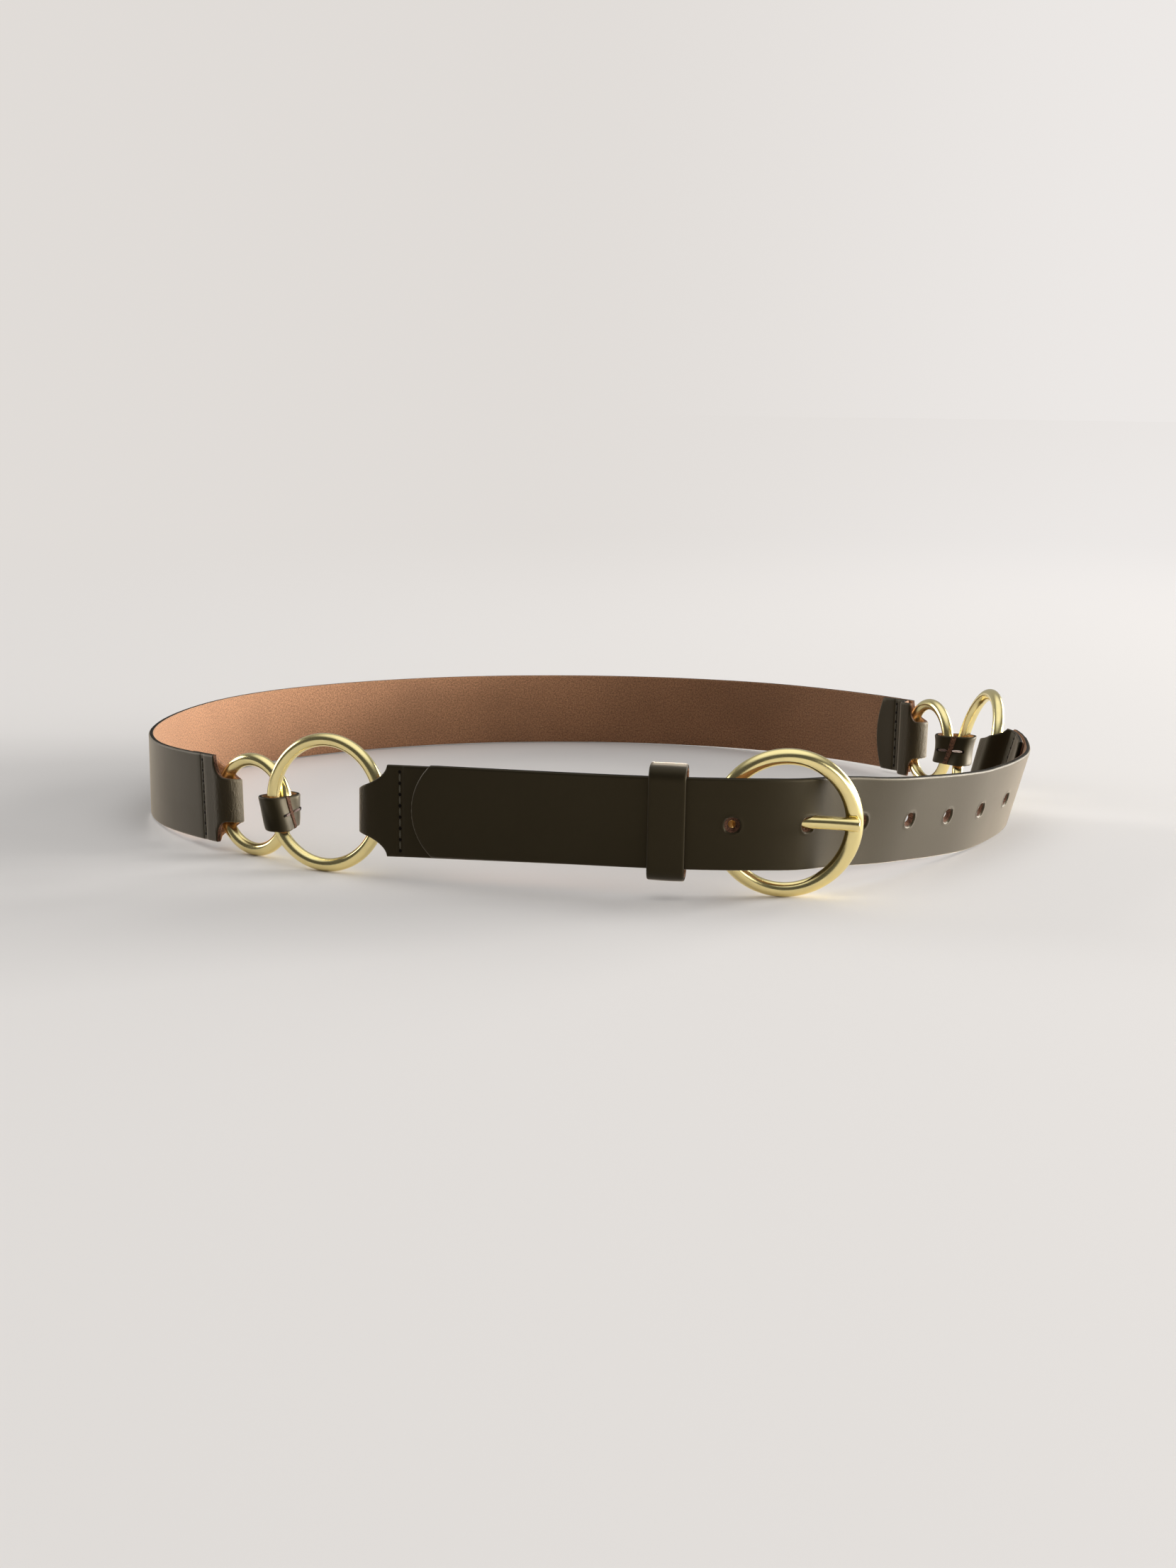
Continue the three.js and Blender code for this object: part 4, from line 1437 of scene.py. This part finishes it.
class BELT_OT_tabs(Operator):
    """Short tabs that wrap the tubes of a big and a small ring, pinched and stitched between"""

    bl_idname = "belt.tabs"
    bl_label = "Tabs"

    def execute(self, context):
        slots = leather_slots(context.scene.belt_leather)
        left = (RINGS["left_big"], -1), (RINGS["left_small"], 1)
        right = (RINGS["right_small"], -1), (RINGS["right_big"], 1)
        # where each stitch starts and ends on either side of the seam, and its thread's number
        self.tab("left", left, ((-3.6, -0.9, 1), (0.9, 4.4, 1)), 0.16, slots)
        self.tab("right", right, ((-4.4, -0.9, 1), (0.8, 5.0, 2)), 0.02, slots)
        return {"FINISHED"}

    def tab(self, side_name, joined, stitched, rise, slots):
        first, second = (tube_point(ring, side, TAB_MIDDLE) for ring, side in joined)
        span = (second - first).length
        inner_width = RING_TUBE + 2 * TAB_SLACK
        half_length = (span + inner_width) / 2 + TAB_LEATHER / 2
        half_width = inner_width / 2 + TAB_LEATHER / 2
        path, total = rounded_path(half_length, half_width, BAND_CORNER + TAB_LEATHER / 2)

        def held(ring, side, level):
            """The stiff leather keeps straighter than the tube it wraps"""
            low = tube_point(ring, side, TAB_MIDDLE - 0.5 * TAB_HEIGHT)
            high = tube_point(ring, side, TAB_MIDDLE + 0.5 * TAB_HEIGHT)
            straight = low.lerp(high, level / TAB_HEIGHT + 0.5)
            return tube_point(ring, side, TAB_MIDDLE + level).lerp(straight, 0.7)

        def place(x, y, level):
            """Follow both tubes at a level; x runs from one tube to the other"""
            start, end = (held(ring, side, level) for ring, side in joined)
            along = end - start
            along.z = 0.0
            along.normalize()
            past = x + span / 2
            share = clamp(past / span)
            point = start.lerp(end, share) + along * (past - share * span)
            return (point + Vector((-along.y, along.x, 0.0)) * y) * MM

        def pinched(x, y):
            """Drawn in a little by the stitches, with the raw strip of the seam standing proud"""
            drawn = 0.06 * math.exp(-((x / 4.0) ** 2))
            return y * (1 - drawn) + math.copysign(0.3 * clamp((TAB_SEAM - abs(x)) / 0.15), y)

        def shape(s, h, through):
            x, y, out_x, out_y = path(s)
            flare = TAB_FLARE * (h / (TAB_HEIGHT / 2)) ** 2
            x += out_x * (through + flare - 0.25)
            y += out_y * through
            return place(x, pinched(x, y) if through > 0 else y, h)

        def raw_at(middle):
            return abs(path(middle.x)[0]) < TAB_SEAM

        parts = (1.0, 0.985, 0.95, 0.9, 0.75, 0.55, 0.35, 0.15)
        rows = both_sides([part * TAB_HEIGHT / 2 for part in parts])
        marks = [total / 4, 3 * (total / 4)]
        near_seam = (-1.4, -TAB_SEAM, 0.15 - TAB_SEAM, 0.0, TAB_SEAM - 0.15, TAB_SEAM, 1.4)
        for centre in (0.0, total / 2, total):
            marks += [centre + d for d in near_seam]
        columns = fill_between([mark for mark in marks if 0.0 <= mark <= total], 0.45)
        bm = band(columns, rows, TAB_LEATHER, shape, raw_at)
        finish_piece(bm, f"tab_{side_name}_leather", slots, f"tab_{side_name}")
        stitches = Stitches(TAB_THREAD, TAB_NEEDLE_HOLE)
        outer = half_width + TAB_LEATHER / 2

        def needle_place(x, face_side):
            """Where the needle goes through, just under the surface"""
            return place(x, face_side * (pinched(x, outer) - 0.05), rise * x)

        for face_side in (-1, 1):
            for start_x, end_x, thread in stitched:
                start, end = (needle_place(x, face_side) for x in (start_x, end_x))
                middle_x = (start_x + end_x) / 2
                out = place(middle_x, face_side * 9.0, 0.0) - place(middle_x, face_side * 8.0, 0.0)
                out.normalize()
                along = (end - start).normalized()
                # near-black discs of painted shade at both needle holes
                stitches.hole(start + along * (-0.15 * MM), along, out)
                stitches.hole(end + along * (0.15 * MM), along, out)
                stitches.stitch(start, end, out, thread)
        stitches.finish(f"tab_{side_name}_stitches", "brown_thread", "pale_thread")


def ring_matrix(ring):
    turn = Matrix((ring.across, ring.up, ring.front)).transposed().to_4x4()
    return Matrix.Translation(ring.centre * MM) @ turn


def spin_section(bm, radius, steps):
    """Stand a flat outline up at a radius and spin it into a closed ring, faces outwards"""
    upright = Matrix.Rotation(math.pi / 2, 3, "X")
    bmesh.ops.rotate(bm, verts=bm.verts[:], cent=(0, 0, 0), matrix=upright)
    bmesh.ops.translate(bm, verts=bm.verts[:], vec=(radius * MM, 0, 0))
    bmesh.ops.spin(
        bm,
        geom=bm.verts[:] + bm.edges[:],
        cent=(0, 0, 0),
        axis=(0, 0, 1),
        angle=2 * math.pi,
        steps=steps,
        use_merge=True,
    )
    bmesh.ops.recalc_face_normals(bm, faces=bm.faces[:])


def spin_ring(outer, tube):
    """A round tube spun into a ring in its own flat plane, in metres"""
    bm = bmesh.new()
    bmesh.ops.create_circle(bm, radius=tube / 2 * MM, segments=28)
    spin_section(bm, (outer - tube) / 2, 144)
    return bm


def round_edges(bm, edges, offset):
    bmesh.ops.bevel(
        bm,
        geom=edges,
        offset=offset * MM,
        offset_type="OFFSET",
        segments=4,
        profile=0.5,
        affect="EDGES",
        material=-1,
    )


class BELT_OT_rings(Operator):
    """The two big and the two small joining rings"""

    bl_idname = "belt.rings"
    bl_label = "Rings"

    def execute(self, context):
        metal = [metal_slot(context.scene.belt_metal)]
        for name in ("left_big", "left_small", "right_small", "right_big"):
            bm = spin_ring(BIG_RING if name.endswith("big") else SMALL_RING, RING_TUBE)
            bmesh.ops.transform(bm, matrix=ring_matrix(RINGS[name]), verts=bm.verts)
            node = f"ring_{name}"
            finish_piece(bm, f"{node}_polished", metal, node, NEVER_SHARP)
        return {"FINISHED"}


class BELT_OT_buckle(Operator):
    """Round buckle frame, slightly pressed where the prong rests, and the prong with its loop"""

    bl_idname = "belt.buckle"
    bl_label = "Buckle"

    def execute(self, context):
        metal = [metal_slot(context.scene.belt_metal)]
        ring = RINGS["buckle"]
        bm = self.frame(ring)
        name, node = "buckle_ring_polished", "buckle_ring"
        finish_piece(bm, name, metal, node, NEVER_SHARP)
        bm = self.bar()
        loop = self.loop(ring)
        joined = bpy.data.meshes.new("prong_loop")
        loop.to_mesh(joined)
        loop.free()
        bm.from_mesh(joined)
        bpy.data.meshes.remove(joined)
        finish_piece(bm, "prong_polished", metal, "prong", PRONG_SHARP_ANGLE)
        return {"FINISHED"}

    def frame(self, ring):
        """The round frame, slimmer above and below, with the prong's bed pressed into it"""
        bm = spin_ring(BUCKLE_RING, BUCKLE_TUBE)
        for vert in bm.verts:
            angle = math.atan2(vert.co.y, vert.co.x)
            outwards = Vector((math.cos(angle), math.sin(angle), 0))
            waist = BUCKLE_WAIST + 0.045 * math.sin(angle)
            part = waist + (1 - waist) * math.cos(angle) ** 2
            offset = vert.co - outwards * (ring.radius * MM)
            middle = outwards * ((BUCKLE_RING / 2 - BUCKLE_TUBE / 2 * part) * MM)
            vert.co = middle + offset * part
        bmesh.ops.transform(bm, matrix=ring_matrix(ring), verts=bm.verts)
        start, end, along, side = prong_line()
        reach = (end - start).length
        room = PRONG / 2 + PRONG_SEAT_GAP
        for vert in bm.verts:
            place = vert.co / MM
            t = (place - start).dot(along)
            line = start + along * t + side * prong_sag(clamp(t / reach))
            away = place - line
            if t >= reach * 0.7 and away.length < room:
                vert.co = (line + away.normalized() * room) * MM
        return bm

    def bar(self):
        """The prong's bar with its tip's rim rounded"""
        start, end = prong_line()[:2]
        bm = upright_bar(PRONG / 2, (end - start).length, 32)
        round_edges(bm, [e for e in bm.edges if all(v.co.z > 0 for v in e.verts)], 0.75)
        lay_prong(bm)
        return bm

    def loop(self, ring):
        """The prong's loop round the frame's left tube: a flat band with rounded corners"""
        bm = bmesh.new()
        bmesh.ops.create_grid(bm, x_segments=1, y_segments=1, size=0.5)
        bmesh.ops.scale(bm, vec=(PRONG_LOOP_WALL * MM, PRONG * MM, 1), verts=bm.verts[:])
        bmesh.ops.delete(bm, geom=bm.faces[:], context="FACES_ONLY")
        spin_section(bm, BUCKLE_TUBE / 2 + MOVING_GAP + PRONG_LOOP_WALL / 2, 64)
        corners = [e for e in bm.edges if len(e.link_faces) == 2 and e.calc_face_angle(0) > 0.8]
        round_edges(bm, corners, 0.6)
        axes = Matrix((ring.across, -ring.front, ring.up)).transposed().to_4x4()
        at_tube = Matrix.Translation(tube_at(ring, -1) * MM)
        bmesh.ops.transform(bm, matrix=at_tube @ axes, verts=bm.verts)
        bmesh.ops.recalc_face_normals(bm, faces=bm.faces[:])
        return bm


def pale_backdrop_painted_light(tree, aside):
    """Colour of the glowing backdrop, with painted light: a little brighter towards the right, where most
    lamps stand
    """
    return mix_colours(tree, band_node(tree, aside, -0.05, 0.3), BACKDROP_LEFT, BACKDROP_RIGHT_PAINTED_LIGHT)


class BELT_OT_stage(Operator):
    """Pale floor, soft studio light, and the camera at the photo's angle"""

    bl_idname = "belt.stage"
    bl_label = "Stage"

    def execute(self, context):
        settings = context.scene.belt_stage
        self.floor(tuple(settings.floor_colour))
        self.surroundings(context.scene, settings.overhead, settings.backdrop)
        for lamp in LAMPS:
            self.light(lamp, settings.light)
        self.camera(context.scene, settings.lens)
        context.scene.view_settings.view_transform = "Standard"
        return {"FINISHED"}

    def floor(self, colour):
        """A wide floor that fades into the surroundings far from the belt"""
        surface = Surface("studio_floor")
        surface.set(Base_Color=colour, Roughness=0.7, Specular_IOR_Level=0.12)
        bm = bmesh.new()
        bmesh.ops.create_circle(bm, cap_ends=True, radius=9.0, segments=96)
        ground = as_object(bm, "studio_floor", [surface.material])
        tree, place = surface.tree, surface.vector
        length = add_node(tree, "ShaderNodeVectorMath", {0: place}, operation="LENGTH")
        length = length.outputs["Value"]
        aside = math_node(tree, "DIVIDE", parts_of(tree, place)["X"], length)
        aside = math_node(tree, "MULTIPLY", aside, 0.7)
        # far from the belt the floor glows with the backdrop colour, its brighter right painted light
        glow = add_node(tree, "ShaderNodeEmission", {"Color": pale_backdrop_painted_light(tree, aside)})
        far = band_node(tree, length, 0.4, 1.6)
        shaders = {0: far, 1: surface.shader.outputs[0], 2: glow.outputs[0]}
        blend = add_node(tree, "ShaderNodeMixShader", shaders)
        wire(tree, blend.outputs[0], tree.nodes["Material Output"].inputs["Surface"])

    def surroundings(self, scene, overhead, backdrop):
        """Pale where the camera sees it; its ceiling and backdrop glow for light and reflections"""
        scene.world = bpy.data.worlds.new("studio")
        scene.world.use_nodes = True
        tree = scene.world.node_tree
        tree.nodes.clear()
        parts = parts_of(tree, add_node(tree, "ShaderNodeTexCoord").outputs["Generated"])
        ceiling = band_node(tree, parts["Z"], 0.62, 0.95, 0.0, overhead)
        wall = band_node(tree, parts["Y"], 0.2, 0.9, 0.0, backdrop)
        strength = math_node(tree, "ADD", math_node(tree, "ADD", ceiling, wall), 0.08)
        inputs = {"Color": (0.97, 0.985, 1.0), "Strength": strength}
        studio = add_node(tree, "ShaderNodeBackground", inputs)
        # what the camera sees of the surroundings, brighter to the right as painted light
        seen = add_node(tree, "ShaderNodeBackground", {"Color": pale_backdrop_painted_light(tree, parts["X"])})
        to_camera = add_node(tree, "ShaderNodeLightPath").outputs["Is Camera Ray"]
        shaders = {0: to_camera, 1: studio.outputs[0], 2: seen.outputs[0]}
        choose = add_node(tree, "ShaderNodeMixShader", shaders)
        add_node(tree, "ShaderNodeOutputWorld", {"Surface": choose.outputs[0]})

    def light(self, lamp, strength):
        """A soft box that faces the middle of the belt"""
        data = bpy.data.lights.new(lamp.name, "AREA")
        data.shape = "RECTANGLE"
        data.size, data.size_y = lamp.width, lamp.height
        data.energy = lamp.watts * strength
        made = bpy.data.objects.new(lamp.name, data)
        made.location = lamp.place
        aim = Vector((0, 0, 0.02)) - Vector(lamp.place)
        made.rotation_euler = aim.to_track_quat("-Z", "Y").to_euler()
        bpy.context.scene.collection.objects.link(made)

    def camera(self, scene, lens):
        data = bpy.data.cameras.new("photo_camera")
        data.lens = lens
        data.sensor_width = 36.0
        data.clip_start = 0.01
        camera = bpy.data.objects.new("photo_camera", data)
        pitch = Matrix.Rotation(math.pi / 2 - math.radians(CAMERA_PITCH), 4, "X")
        roll = Matrix.Rotation(math.radians(CAMERA_ROLL), 4, "Z")
        stand = Matrix.Translation([part * MM for part in CAMERA_PLACE])
        camera.matrix_world = stand @ (pitch @ roll)
        scene.collection.objects.link(camera)
        scene.camera = camera


OPERATORS = (
    BELT_OT_back_strap,
    BELT_OT_tip_strap,
    BELT_OT_buckle_strap,
    BELT_OT_keeper,
    BELT_OT_tabs,
    BELT_OT_rings,
    BELT_OT_buckle,
    BELT_OT_stage,
)


class BELT_PT_sidebar(Panel):
    """Sizes, colours and the build steps of the ring belt"""

    bl_idname = "BELT_PT_sidebar"
    bl_label = "Ring Belt"
    bl_space_type = "VIEW_3D"
    bl_region_type = "UI"
    bl_category = "Ring Belt"

    def draw(self, context):
        scene = context.scene
        for group in (scene.belt_leather, scene.belt_metal, scene.belt_stage):
            box = self.layout.box()
            for name in group.bl_rna.properties.keys():
                if name not in {"rna_type", "name"}:
                    box.prop(group, name)
        for operator in OPERATORS:
            self.layout.operator(operator.bl_idname)


CLASSES = (BeltLeather, BeltMetal, BeltStage, *OPERATORS, BELT_PT_sidebar)


def register():
    for cls in CLASSES:
        bpy.utils.register_class(cls)
    bpy.types.Scene.belt_leather = PointerProperty(type=BeltLeather)
    bpy.types.Scene.belt_metal = PointerProperty(type=BeltMetal)
    bpy.types.Scene.belt_stage = PointerProperty(type=BeltStage)


def unregister():
    del bpy.types.Scene.belt_stage
    del bpy.types.Scene.belt_metal
    del bpy.types.Scene.belt_leather
    for cls in reversed(CLASSES):
        bpy.utils.unregister_class(cls)


def main():
    """Register the add-on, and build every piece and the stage"""
    register()
    bpy.ops.belt.back_strap()
    bpy.ops.belt.tip_strap()
    bpy.ops.belt.buckle_strap()
    bpy.ops.belt.keeper()
    bpy.ops.belt.tabs()
    bpy.ops.belt.rings()
    bpy.ops.belt.buckle()
    bpy.ops.belt.stage()
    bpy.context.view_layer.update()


if __name__ == "__main__":
    main()
